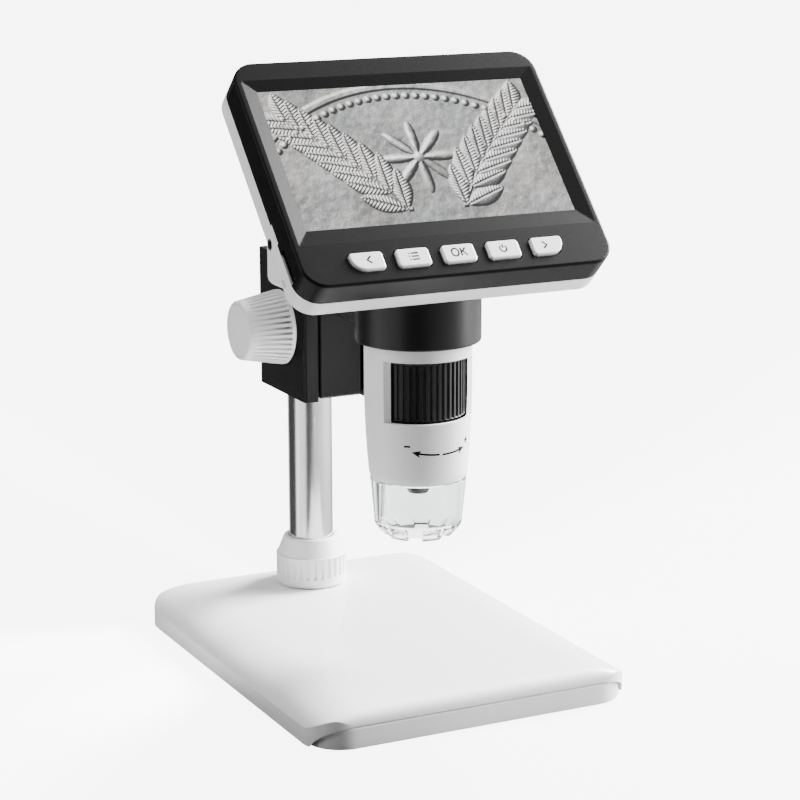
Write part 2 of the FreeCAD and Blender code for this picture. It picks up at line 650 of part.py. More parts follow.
def make_base():
    """Make the base: shell, tray, weight, feet and their screws."""
    shoulder = "(base_width / 2 - shoulder_inset)"
    centre = "base_height - shoulder_rise"
    section = fuse("base_section",
                   box("base_core", both(shoulder), both("base_depth / 2"), ("0", "base_height")),
                   box("base_skirt", both("base_width / 2"), both("base_depth / 2"), ("0", "skirt_height")),
                   elliptic_bar("base_shoulder_left", "-" + shoulder, centre, "shoulder_run",
                                "shoulder_rise",
                                "base_depth"),
                   elliptic_bar("base_shoulder_right", shoulder, centre, "shoulder_run", "shoulder_rise",
                                "base_depth"))
    profile = doc.addObject("PartDesign::Body", "base_profile")
    corners, arcs = rounded(both("base_depth / 2"), ("0", "base_height"),
                            ["base_sill", "base_sill", "edge_radius", "edge_radius"])
    pad(profile, sketch_on(profile, "YZ", corners, arcs), "base_width + 2")
    place(profile, "-base_width / 2 - 1", "0", "0")
    outer = common("base_outer", section, profile, base_plan("base_outline", "base_lift", "base_height"))
    room = box("base_room", both(f"{shoulder} + room_side"), both("base_depth / 2 - base_lip"),
               ("base_lift", "base_height - base_wall"))
    bosses = [cylinder(f"base_boss_{i}", "boss_radius", (x, y, f"{FLOOR_TOP} + seat_gap"),
                       f"base_height - base_wall / 2 - {FLOOR_TOP} - seat_gap")
              for i, (x, y) in enumerate(boss_places())]
    pier = cylinder("base_pier", "socket_radius + pier_wall", ("0", "column_y", f"{FLOOR_TOP} + seat_gap"),
                    f"base_height - base_wall / 2 - {FLOOR_TOP} - seat_gap")
    hollow = cut("base_hollow", outer, tray_arch("shell_arch", "seat_gap", "-1"), room)
    solid = fuse("base_solid", hollow, pier, *bosses)
    holes = [cylinder(f"base_pilot_{i}", "screw_radius + running_gap", (x, y, "0"),
                      f"{FLOOR_TOP} + screw_length")
             for i, (x, y) in enumerate(boss_places())]
    bolt_hole = cylinder("base_bolt_hole", "bolt_radius + running_gap", ("0", "column_y", "0"),
                         "base_height + 1")
    shell = cut("base_shell", solid, bolt_hole, *holes)

    block = common("tray_block", tray_arch("tray_section", "0", "base_lift"),
                   base_plan("tray_outline", "base_lift", "base_height"))
    inside = box("tray_room", both("base_width / 2 - arch_inset + arch_run / 2"),
                 both("base_depth / 2 - tray_wall"), (FLOOR_TOP, "base_height"))
    cuts = [cylinder(f"tray_hole_{i}", "screw_radius + running_gap", (x, y, "0"), "base_height")
            for i, (x, y) in enumerate(boss_places())]
    cuts += [cylinder(f"tray_sink_{i}", "screw_head_radius + seat_gap", (x, y, "0"),
                      "base_lift + screw_head_height + head_sunk") for i,
                      (x, y) in enumerate(boss_places())]
    feet = [(f"{x}foot_x", f"{y}foot_y") for x in ("-", "") for y in ("-", "")]
    cuts += [cylinder(f"tray_pocket_{i}", "foot_radius + running_gap", (x, y, "0"), "base_lift + foot_sunk")
             for i, (x, y) in enumerate(feet)]
    cuts.append(cylinder("tray_bolt_sink", "bolt_head_radius + seat_gap", ("0", "column_y", "0"),
                         "base_height"))
    tray = cut("base_tray", block, inside, *cuts)
    pads = fuse("rubber_feet", *[cylinder(f"foot_{i}", "foot_radius", (x, y, "0"), "base_lift + foot_sunk")
                                 for i, (x, y) in enumerate(feet)])
    head = "base_lift + head_sunk"
    screws = []
    for i, (x, y) in enumerate(boss_places()):
        screws.append(cylinder(f"base_screw_head_{i}", "screw_head_radius", (x, y, head),
                               "screw_head_height"))
        screws.append(cylinder(f"base_screw_shank_{i}", "screw_radius", (x, y, head),
                               "screw_head_height + screw_length"))
    base_screws = fuse("base_screws", *screws)
    weight = place(slab("base_weight", both("weight_width / 2"), both("weight_depth / 2"), four("2"),
                        "weight_height"), "0", "-weight_ahead", FLOOR_TOP)
    return {"base_shell": shell, "base_tray": tray, "rubber_feet": pads, "base_screws": base_screws,
            "base_weight": weight}


def make_column():
    """Make the column with its plug, end cap, socket, bolt and nut."""
    bore = "column_radius - column_wall"
    top = f"({COLUMN_FOOT} + column_length)"
    column = tube("column", "column_radius", bore, COLUMN_FOOT, top, "0", "column_y")
    plug = tube("column_plug", f"{bore} - running_gap", "bolt_radius + running_gap", COLUMN_FOOT,
                f"{COLUMN_FOOT} + plug_length", "0", "column_y")
    socket = tube("column_socket", "socket_radius", "column_radius + column_bore_gap", COLUMN_FOOT,
                  f"{COLUMN_FOOT} + socket_height", "0", "column_y")
    end_cap = place(turned("column_cap", [("0", "0"), (f"{bore} - running_gap", "0"),
                                          (f"{bore} - running_gap", "cap_spigot"),
                                          ("column_radius", "cap_spigot"),
                                          ("column_radius", "cap_spigot + cap_plate"),
                                          ("0", "cap_spigot + cap_plate")]),
                    "0", "column_y", f"{top} - cap_spigot")
    head_low = f"{FLOOR_TOP} + seat_gap - bolt_head_height"
    bolt = fuse("column_bolt",
                cylinder("bolt_head", "bolt_head_radius", ("0", "column_y", head_low), "bolt_head_height"),
                cylinder("bolt_shank", "bolt_radius", ("0", "column_y", head_low),
                         f"{COLUMN_FOOT} + bolt_grip - ({head_low})"))
    inner = "socket_radius + seat_gap"
    neck = "column_radius + slide_gap"
    nut = turned("column_nut", [
        (inner, "0"), ("nut_radius", "0"), ("nut_radius", "nut_grip_height"),
        ("nut_radius - nut_shoulder", "nut_grip_height + nut_shoulder"),
        ("nut_top_radius", "nut_height - nut_edge"), ("nut_top_radius - nut_edge", "nut_height"),
        (neck, "nut_height"),
        (neck, "socket_height + 1"), (inner, "socket_height + 1")])
    groove = sketch_on(nut, "XY", [
        ("-nut_groove_width / 2", "-nut_radius - 1"), ("nut_groove_width / 2", "-nut_radius - 1"),
        ("nut_groove_width / 2", "-nut_radius + nut_groove_depth"),
        ("-nut_groove_width / 2", "-nut_radius + nut_groove_depth")], lift="nut_groove_low")
    around(nut, pocket(nut, groove, "nut_grip_height - nut_groove_low", True), groove, "nut_groove_count")
    place(nut, "0", "column_y", f"{COLUMN_FOOT} + slide_gap")
    return {"column": column, "column_plug": plug, "column_socket": socket, "column_cap": end_cap,
            "column_bolt": bolt, "column_nut": nut}


def make_bracket():
    """Make the bracket block with its grub screws and shaft bushes."""
    block = slab("bracket_blank", both("bracket_width / 2"), ("bracket_front", BRACKET_BACK),
                 four("bracket_corner"), "bracket_height")
    place(block, "0", "0", "bracket_low")
    through = ("bracket_low - 1", f"{BRACKET_TOP} + 1")
    channel = box("bracket_channel", both("plate_width / 2 + plate_groove"),
                  ("bracket_front - 1", RAIL_FRONT), through)
    slot = box("bracket_slot", both("rail_width / 2 + slide_gap"),
               (f"{RAIL_FRONT} - slide_gap", f"{RAIL_BACK} + slide_gap"), through)
    relief = box("bracket_relief", both("rack_width / 2 + 2 * slide_gap"),
                 (RAIL_BACK, f"{RACK_ROOT} + {TOOTH_HEIGHT} + pinion_room"), through)
    bore = cylinder("bracket_bore", "column_radius + column_bore_gap", ("0", "column_y", "bracket_low - 1"),
                    "bracket_height + 2")
    half = "(rack_width / 2 + slide_gap)"
    pinion_room = cylinder("pinion_room_cut", f"{PITCH_RADIUS} + gear_module + pinion_room",
                           ("-" + half, PINION_Y, PINION_Z), f"2 * {half}", "x")
    bush_bore = cylinder("bush_bore", "bush_radius", ("-bracket_width", PINION_Y, PINION_Z),
                         "2 * bracket_width", "x")
    grub_heights = [f"bracket_low + grub_low{extra}" for extra in ("", " + grub_spacing")]
    grub_start = "column_y + column_radius"
    grub_holes = [cylinder(f"grub_hole_{i}", "grub_radius + running_gap", ("0", grub_start, z),
                           "bracket_depth", "y")
                  for i, z in enumerate(grub_heights)]
    bracket = cut("bracket_block", block, channel, slot, relief, bore, pinion_room, bush_bore, *grub_holes)
    grubs = []
    for i, z in enumerate(grub_heights):
        screw = cylinder(f"grub_{i}", "grub_radius", ("0", f"{grub_start} + running_gap", z), "grub_length",
                         "y")
        key_hole = cylinder(f"grub_key_{i}", "grub_radius / 2", ("0", f"{grub_start} + grub_length / 2", z),
                            "grub_length", "y")
        grubs.append(cut(f"grub_screw_{i}", screw, key_hole))
    bushes = []
    for side, start in (("left", "-bracket_width / 2"), ("right", half)):
        length = f"bracket_width / 2 - {half}"
        ring = cylinder(f"bush_{side}_ring", "bush_radius", (start, PINION_Y, PINION_Z), length, "x")
        hole = cylinder(f"bush_{side}_hole", "shaft_radius + running_gap",
                        ("-bracket_width", PINION_Y, PINION_Z),
                        "2 * bracket_width", "x")
        bushes.append(cut(f"bush_{side}", ring, hole))
    return {"bracket_block": bracket, "bracket_grub_screws": fuse("bracket_grub_screws", *grubs),
            "shaft_bushes": fuse("shaft_bushes", *bushes)}


def tooth_corners(root, tip):
    """Return a tooth that points along -Y, from its root to its tip, with sloping flanks."""
    width = f"({TOOTH_PITCH} / 2 - tooth_thin) / 2"
    slope = math.tan(math.radians(20))
    at_root = f"({width} + (gear_module + tooth_root_gap) * {slope:.4f})"
    at_tip = f"({width} - gear_module * {slope:.4f})"
    return [(f"-{at_root}", root), (f"-{at_tip}", tip), (at_tip, tip), (at_root, root)]


def make_slide():
    """Make the sliding plate, its rack, the holder ring and the screws between them."""
    low = "(bracket_low + plate_short)"
    height = "(bracket_height - 2 * plate_short)"
    screw_heights = [f"{RING_LOW} + holder_screw_low{extra}" for extra in ("", " + holder_screw_spacing")]
    screw_places = [(f"{sign}holder_screw_x", z) for sign in ("-", "") for z in screw_heights]
    depth = "(plate_thickness + rail_thickness / 2)"
    web = doc.addObject("PartDesign::Body", "plate_web")
    pad(web, sketch_on(web, "XZ", *rounded(both("plate_width / 2"), ("0", height), four("plate_corner"))),
        depth)
    soften(web, "Chamfer", "plate_bevel", lambda edge, middle: middle.y < 0.01 - number(depth))
    place(web, "0", f"{PLATE_FRONT} + {depth}", low)
    rail = box("plate_rail", both("rail_width / 2"), (RAIL_FRONT, RAIL_BACK), (low, f"{low} + {height}"))
    seat = box("plate_seat", both("rack_width / 2 + running_gap"),
               (f"{RAIL_BACK} - rack_seat", f"{RAIL_BACK} + 1"),
               ("0", f"{BRACKET_TOP} + 1"))
    cuts = [seat]
    screws = []
    for i, (x, z) in enumerate(screw_places):
        start = f"{RAIL_BACK} - head_screw_head"
        cuts.append(cylinder(f"plate_hole_{i}", "head_screw_radius + running_gap",
                             (x, f"{PLATE_FRONT} - 1", z), "plate_thickness + rail_thickness + 2", "y"))
        cuts.append(cylinder(f"plate_sink_{i}", "head_screw_head + running_gap", (x, start, z),
                             "rail_thickness", "y"))
        screws.append(cylinder(f"holder_head_{i}", "head_screw_head", (x, start, z), "screw_head_height",
                               "y"))
        screws.append(cylinder(f"holder_shank_{i}", "head_screw_radius",
                               (x, f"{start} - holder_screw_length", z),
                               "holder_screw_length + screw_head_height / 2", "y"))
    plate = cut("slide_plate", fuse("plate_blank", web, rail), *cuts)

    rack = doc.addObject("PartDesign::Body", "rack")
    length = f"({TOOTH_PITCH} * rack_teeth)"
    corners = [("0", f"-{length} / 2"), (f"rack_seat + rack_back", f"-{length} / 2"),
               (f"rack_seat + rack_back", f"{length} / 2"), ("0", f"{length} / 2")]
    pad(rack, sketch_on(rack, "YZ", corners), "rack_width")
    root, tip = "rack_seat + rack_back", f"rack_seat + rack_back + {TOOTH_HEIGHT}"
    shift = f"(0.5 - rack_teeth / 2) * {TOOTH_PITCH}"
    tooth = sketch_on(rack, "YZ", [(y, f"{z} + {shift}") for z, y in tooth_corners(root, tip)])
    tooth_pad = pad(rack, tooth, "rack_width")
    doc.recompute()
    row = rack.newObject("PartDesign::LinearPattern", "rack_row")
    row.Originals = [tooth_pad]
    row.Direction = (tooth, ["V_Axis"])
    bind(row, "Length", f"{TOOTH_PITCH} * (rack_teeth - 1)")
    bind(row, "Occurrences", "rack_teeth")
    rack.Tip = row
    place(rack, "-rack_width / 2", f"{RAIL_BACK} - rack_seat", PINION_Z)

    ring = turned("ring_body", [
        ("barrel_radius + 2 * running_gap", "0"), ("ring_radius - ring_edge", "0"),
        ("ring_radius", "ring_edge"),
        ("ring_radius", "ring_height - ring_edge"), ("ring_radius - ring_edge", "ring_height"),
        ("barrel_radius + 2 * running_gap", "ring_height")])
    place(ring, "0", "axis_y", RING_LOW)
    arm = box("ring_arm", both("arm_width / 2"), ("axis_y + barrel_radius + 1", PLATE_FRONT),
              (RING_LOW, f"{RING_LOW} + arm_height"))
    arm_bore = cylinder("arm_bore", "barrel_radius + 2 * running_gap", ("0", "axis_y", f"{RING_LOW} - 1"),
                        "ring_height + 2")
    threads = [cylinder(f"arm_thread_{i}", "head_screw_radius + running_gap",
                        (x, f"{PLATE_FRONT} - holder_screw_length", z), "holder_screw_length + 1", "y")
               for i, (x, z) in enumerate(screw_places)]
    holder = cut("holder_ring", fuse("holder_blank", ring, arm), arm_bore, *threads)
    return {"slide_plate": plate, "rack": rack, "holder_ring": holder,
            "holder_screws": fuse("holder_screws", *screws)}


def make_knobs():
    """Make the pinion shaft, the two ribbed knobs, their end discs and friction washers."""
    half = "(shaft_length / 2)"
    root = f"({PITCH_RADIUS} - gear_module - tooth_root_gap)"
    face = "(rack_width / 2)"
    shaft = turned("pinion_shaft",
                   [("0", f"-{half}"), ("shaft_radius", f"-{half}"), ("shaft_radius", f"-{face}"),
                                    (root, f"-{face}"), (root, face), ("shaft_radius", face),
                                    ("shaft_radius", half), ("0", half)])
    tip = f"({PITCH_RADIUS} + gear_module)"
    sketch = sketch_on(shaft, "XY", tooth_corners(f"-{root} + tooth_root_gap", f"-{tip}"), lift=f"-{face}")
    around(shaft, pad(shaft, sketch, "rack_width"), sketch, "gear_teeth")
    place(shaft, "0", PINION_Y, PINION_Z, Y_AXIS, 90)

    pieces = {"pinion_shaft": shaft}
    inner = "(bracket_width / 2 + knob_inset)"
    washers = []
    for side, sign, angle in (("left", "-", -90), ("right", "", 90)):
        bore = "shaft_radius + running_gap"
        depth = f"(shaft_length / 2 - bracket_width / 2 - knob_inset + seat_gap)"
        knob = turned(f"knob_{side}", [
            (bore, "0"), ("knob_radius - knob_lip", "0"), ("knob_radius", "knob_lip"),
            ("knob_radius", "knob_flange"),
            ("knob_end_radius", "knob_length - knob_edge"), ("knob_end_radius - knob_edge", "knob_length"),
            ("knob_disc_radius + running_gap", "knob_length"),
            ("knob_disc_radius + running_gap", "knob_length - knob_disc_depth"),
            ("0", "knob_length - knob_disc_depth"), ("0", depth), (bore, depth)],
            {4: "knob_edge"})
        groove = sketch_on(knob, "XY", [
            ("-knob_groove_width / 2", "-knob_radius - 1"), ("knob_groove_width / 2", "-knob_radius - 1"),
            ("knob_groove_width / 2", "-knob_groove_radius"),
            ("-knob_groove_width / 2", "-knob_groove_radius")],
            lift="knob_flange")
        around(knob, pocket(knob, groove, "knob_length", True), groove, "knob_rib_count")
        place(knob, sign + inner, PINION_Y, PINION_Z, Y_AXIS, angle)
        disc = turned(f"knob_disc_{side}", [
            ("0", "0"), ("knob_disc_radius", "0"), ("knob_disc_radius", "knob_disc_depth - disc_edge"),
            ("knob_disc_radius - disc_edge", "knob_disc_depth"), ("0", "knob_disc_depth")])
        place(disc, f"{sign}({inner} + knob_length - knob_disc_depth + running_gap)", PINION_Y, PINION_Z,
              Y_AXIS, angle)
        start = "-" + inner if sign else "bracket_width / 2"
        ring = cylinder(f"washer_{side}_ring", "knob_spacer_radius",
                        (f"{start} + washer_gap", PINION_Y, PINION_Z),
                        "knob_inset - 2 * washer_gap", "x")
        hole = cylinder(f"washer_{side}_hole", bore, (f"{start} - 1", PINION_Y, PINION_Z), "knob_inset + 2",
                        "x")
        washers.append(cut(f"washer_{side}", ring, hole))
        pieces[f"knob_{side}"] = knob
        pieces[f"knob_disc_{side}"] = disc
    pieces["friction_washers"] = fuse("friction_washers", *washers)
    return pieces


def make_barrel():
    """Make the barrel with its guide tube, focus ring, lens carriage, lenses, lamps and image sensor."""
    bore = "(barrel_radius - barrel_wall)"
    end_radius = ("(barrel_radius - barrel_curve"
                  " + sqrt(barrel_curve * barrel_curve - barrel_taper * barrel_taper))")
    shoulder_low = f"{RING_TOP} + seat_gap - ({BARREL_LOW})"
    flange = "(barrel_length + hump_floor)"
    lamp_seat = "(led_board_rise + led_board_thickness)"
    barrel = turned("barrel_blank", [
        ("nose_bore", "0"), (end_radius, "0"), ("barrel_radius", "barrel_taper"),
        ("barrel_radius", shoulder_low),
        ("barrel_radius + shoulder_width", shoulder_low),
        ("barrel_radius + shoulder_width", "barrel_length - running_gap"),
        ("barrel_radius", "barrel_length - running_gap"), ("barrel_radius", f"{flange} + running_gap"),
        ("barrel_flange_radius", f"{flange} + running_gap"),
        ("barrel_flange_radius", f"{flange} + barrel_flange_height"),
        (bore, f"{flange} + barrel_flange_height"), (bore, "sensor_ledge + sensor_ledge_height"),
        ("sensor_ledge_bore", "sensor_ledge + sensor_ledge_height"), ("sensor_ledge_bore", "sensor_ledge"),
        (bore, "sensor_ledge"), (bore, "window_low"), ("nose_bore", "window_low"),
        ("nose_bore", f"{lamp_seat} + barrel_wall"),
        ("nose_bore - barrel_wall", f"{lamp_seat} + barrel_wall"),
        ("nose_bore - barrel_wall", lamp_seat), ("nose_bore", lamp_seat)], {1: "barrel_curve"})
    place(barrel, "0", "axis_y", BARREL_LOW)
    window = cylinder("barrel_window", "barrel_radius + 2", ("0", "axis_y", WINDOW_LOW), "window_height")
    window.Placement.Rotation = FreeCAD.Rotation(Z_AXIS, -90 - number("window_half_angle"))
    bind(window, "Angle", "2 * window_half_angle")
    bind(window, "Placement.Rotation.Angle", "-90 - window_half_angle")
    screw_angles = [45 + 360 * i / number("barrel_screw_count")
                    for i in range(int(number("barrel_screw_count")))]
    screw_places = [(f"barrel_screw_circle * cos({a})", f"axis_y + barrel_screw_circle * sin({a})")
                    for a in screw_angles]
    holes = [cylinder(f"flange_hole_{i}", "head_screw_radius + running_gap", (x, y, HEAD_LOW),
                      "hump_floor + 5")
             for i, (x, y) in enumerate(screw_places)]
    screws = []
    seat = f"{HEAD_LOW} + hump_floor + barrel_flange_height"
    screw_length = f"{seat} - {HEAD_LOW} - hump_floor / 4 + screw_head_height / 2"
    for i, (x, y) in enumerate(screw_places):
        screws.append(cylinder(f"flange_head_{i}", "head_screw_radius * 1.5", (x, y, seat),
                               "screw_head_height"))
        screws.append(cylinder(f"flange_shank_{i}", "head_screw_radius",
                               (x, y, f"{HEAD_LOW} + hump_floor / 4"), screw_length))
    shell = cut("barrel_shell", barrel, window, *holes)

    flange_low = f"sensor_ledge - barrel_wall - guide_low - running_gap"
    guide = turned("guide_blank", [
        ("guide_bore", "0"), ("guide_radius", "0"), ("guide_radius", flange_low),
        (f"{bore} - seat_gap", flange_low), (f"{bore} - seat_gap", f"{flange_low} + barrel_wall"),
        ("guide_bore", f"{flange_low} + barrel_wall")])
    place(guide, "0", "axis_y", f"{BARREL_LOW} + guide_low")
    slot_half = "(lens_travel + pin_radius + slide_gap)"
    pin_gap = "(pin_radius + 3 * running_gap)"
    slots = box("guide_slots", both("guide_radius + 1"), (f"axis_y - {pin_gap}", f"axis_y + {pin_gap}"),
                (f"{TRACK_MIDDLE} - {slot_half}", f"{TRACK_MIDDLE} + {slot_half}"))
    guide_tube = cut("guide_tube", guide, slots)

    ring_height = f"({FOCUS_TOP} - {FOCUS_LOW})"
    track_low = f"({ring_height} / 2 - track_height / 2)"
    ring = turned("focus_ring", [
        ("focus_bore", "0"), ("focus_radius - focus_edge", "0"), ("focus_radius", "focus_edge"),
        ("focus_radius", f"{ring_height} - focus_edge"), ("focus_radius - focus_edge", ring_height),
        ("focus_bore", ring_height),
        ("focus_bore", f"{track_low} + track_height"), ("track_radius", f"{track_low} + track_height"),
        ("track_radius", track_low), ("focus_bore", track_low)])
    groove = sketch_on(ring, "XY", [
        ("-focus_groove_width / 2", "-focus_radius - 1"), ("focus_groove_width / 2", "-focus_radius - 1"),
        ("focus_groove_width / 2", "-focus_radius + focus_groove_depth"),
        ("-focus_groove_width / 2", "-focus_radius + focus_groove_depth")], lift="-1")
    around(ring, pocket(ring, groove, f"{ring_height} + 2", True), groove, "focus_rib_count")
    place(ring, "0", "axis_y", FOCUS_LOW)

    lens_bore = "lens_radius + running_gap"
    wide_low = f"(lens_nose_drop + carriage_low)"
    tube_body = turned("carriage_tube", [
        ("lens_aperture", "0"), ("lens_nose_radius - nose_edge", "0"), ("lens_nose_radius", "nose_edge"),
        ("lens_nose_radius", wide_low), ("carriage_radius", wide_low),
        ("carriage_radius", f"{wide_low} + carriage_length"),
        ("carriage_radius - carriage_wall", f"{wide_low} + carriage_length"),
        ("carriage_radius - carriage_wall", f"{wide_low} + carriage_wall"),
        (lens_bore, f"{wide_low} + carriage_wall"), (lens_bore, "lens_face"),
        ("lens_aperture", "lens_face")])
    place(tube_body, "0", "axis_y", NOSE_LOW)
    pins = cut("carriage_pins",
               cylinder("pin_bar", "pin_radius", ("-pin_reach", "axis_y", TRACK_MIDDLE), "2 * pin_reach",
                        "x"),
               cylinder("pin_gap", "carriage_radius - carriage_wall / 2",
                        ("0", "axis_y", f"{TRACK_MIDDLE} - 5"), "10"))
    carriage = fuse("lens_carriage", tube_body, pins)
    lenses = []
    for i in range(2):
        lens = turned(f"lens_{i}", [
            ("0", "0"), ("lens_flat", "0"), ("lens_radius", "lens_sag"),
            ("lens_radius", "lens_thickness - lens_sag"),
            ("lens_flat", "lens_thickness"), ("0", "lens_thickness")], {1: "lens_curve", 3: "lens_curve"})
        place(lens, "0", "axis_y", f"{NOSE_LOW} + lens_face + running_gap + {i} * lens_spacing")
        lenses.append(lens)
    lens_group = fuse("objective_lenses", *lenses)

    lamp_board = tube("lamp_board", "nose_bore - seat_gap", "led_board_bore", LAMP_BOARD,
                      f"{LAMP_BOARD} + led_board_thickness - running_gap")
    lamps = []
    for i in range(int(number("led_count"))):
        a = 360.0 * i / number("led_count")
        x = f"(led_circle - led_width / 2) * cos({a}) + led_width / 2 * sin({a})"
        y = f"axis_y + (led_circle - led_width / 2) * sin({a}) - led_width / 2 * cos({a})"
        lamp = box(f"lamp_{i}", ("0", "led_width"), ("0", "led_width"), ("0", "led_height"))
        place(lamp, x, y, f"{LAMP_BOARD} - led_height", Z_AXIS, a)
        lamps.append(lamp)
    sensor_board = cylinder("sensor_board", f"{bore} - sensor_board_gap", ("0", "axis_y", LEDGE_TOP),
                            "board_thickness")
    sensor = box("image_sensor", both("chip_width / 2"),
                 ("axis_y - chip_width / 2", "axis_y + chip_width / 2"),
                 (f"{LEDGE_TOP} - chip_height", LEDGE_TOP))
    sensor_screws = []
    for i, sign in enumerate(("-", "")):
        x = f"{sign}({bore} + sensor_ledge_bore) / 2"
        sensor_screws.append(cylinder(f"sensor_screw_{i}", "head_screw_radius * 1.5",
                                      (x, "axis_y", f"{LEDGE_TOP} + board_thickness"), "screw_head_height"))
    return {"barrel_shell": shell, "barrel_screws": fuse("barrel_screws", *screws),
            "guide_tube": guide_tube,
            "focus_ring": ring, "lens_carriage": carriage, "objective_lenses": lens_group,
            "lamp_board": lamp_board, "lamps": fuse("lamps", *lamps), "sensor_board": sensor_board,
            "image_sensor": sensor, "sensor_screws": fuse("sensor_screws", *sensor_screws)}


def make_lens_cap():
    """Make the clear cap under the barrel, with its spigot and notched rim."""
    end = "0"
    corner = "(cap_length - cap_corner_drop)"
    top = "(cap_length - seat_gap)"
    spigot = "(nose_bore - running_gap)"
    cap = turned("lens_cap", [
        ("cap_mouth_radius", end), ("cap_end_radius", end), ("cap_corner_radius", corner),
        ("cap_radius", top),
        (spigot, top), (spigot, f"{top} + cap_spigot_height"),
        (f"{spigot} - cap_spigot_wall", f"{top} + cap_spigot_height"), ("cap_radius - 2 * cap_wall", top),
        ("cap_corner_radius - cap_wall", f"{corner} + cap_wall / 2"), ("cap_mouth_radius", "cap_wall")])
    notch = sketch_on(cap, "XY", [
        ("-cap_notch_width / 2", "-cap_corner_radius"), ("cap_notch_width / 2", "-cap_corner_radius"),
        ("cap_notch_width / 2", "-cap_mouth_radius / 2"),
        ("-cap_notch_width / 2", "-cap_mouth_radius / 2")],
        lift="-1")
    around(cap, pocket(cap, notch, "cap_notch_depth + 1", True), notch, "cap_notch_count")
    place(cap, "0", "axis_y", f"{BARREL_LOW} - cap_length", Z_AXIS, number("cap_turn"))
    bind(cap, "Placement.Rotation.Angle", "cap_turn")
    return {"lens_cap": cap}


def key_outline(name, index, grow, thickness):
    """Return one key's outline grown by a gap, padded up; the outer keys have one large corner."""
    half_width, half_height = f"(key_width / 2 + {grow})", f"(key_height / 2 + {grow})"
    small, large = f"(key_corner + {grow})", f"(key_sweep + {grow})"
    radii = [large if index == 0 else small, large if index == 4 else small, small, small]
    return slab(name, both(half_width), both(half_height), radii, thickness)


def key_x(index):
    """Return the place of a key across the face."""
    return f"(key_shift + ({index - 2}) * key_pitch)"


def make_keys():
    """Make the five keys and the board with the switches under them."""
    pieces = {}
    switches = []
    board_front = "(switch_top + switch_button + switch_height)"
    flange_low = "(bezel_back + slide_gap + key_flange_height)"
    for index, label in enumerate(("key_left", "key_menu", "key_ok", "key_power", "key_right")):
        top = key_outline(label + "_top", index, "0", f"{flange_low} + face_height + key_proud")
        soften(top, "Fillet", "key_edge",
               lambda edge, middle: middle.z > number(f"{flange_low} + face_height + key_proud") - 0.01)
        place_on_head(top, key_x(index), "-key_drop", f"-{flange_low}")
        flange = key_outline(label + "_flange", index, "key_flange", "key_flange_height")
        place_on_head(flange, key_x(index), "-key_drop", f"-{flange_low}")
        stem = cylinder(label + "_stem", "key_stem_radius", (key_x(index), "-key_drop", "-key_stem_end"),
                        f"key_stem_end - {flange_low} + key_flange_height / 2", on_head=True)
        pieces[label] = fuse(label, top, flange, stem)
        switches.append(box(label + "_switch", (f"{key_x(index)} - switch_width / 2",
                                                f"{key_x(index)} + switch_width / 2"),
                            ("-key_drop - switch_width / 2", "-key_drop + switch_width / 2"),
                            (f"-{board_front}", f"-{board_front} + switch_height"), True))
        switches.append(cylinder(label + "_button", "key_stem_radius",
                                 (key_x(index), "-key_drop", f"-{board_front}"),
                                 "switch_height + switch_button", on_head=True))
    board = box("key_board", ("-key_board_left", "key_board_right"),
                ("-key_drop - key_board_height / 2", "-key_drop + key_board_height / 2"),
                (f"-{board_front} - board_thickness", f"-{board_front}"), True)
    pieces["key_switches"] = fuse("key_switches", *switches)
    pieces["key_board"] = board
    return pieces


def head_screw_places():
    """Return the places of the head's four screws on the screen's frame."""
    return [(f"{sign}head_screw_x", up) for sign in ("-", "")
            for up in ("head_screw_top", "-head_screw_bottom")]


def hump(name, grow_in, low, behind):
    """Return the hump on the head's back, cut off along the sloping back."""
    block = slab(name + "_block", both(f"hump_half_width - {grow_in}"),
                 ("-hump_height", f"hump_back - {grow_in}"),
                 four(f"hump_corner - {grow_in}"), "hump_height")
    if grow_in == "0":
        soften(block, "Fillet", "hump_edge", lambda edge, middle: middle.z < 0.01)
    place(block, "0", "axis_y", low)
    slope = box(name + "_slope", both("head_half_width + 5"), both("2 * head_bottom"),
                ("-2 * head_bottom", f"-({behind})"), True)
    return common(name, block, slope)


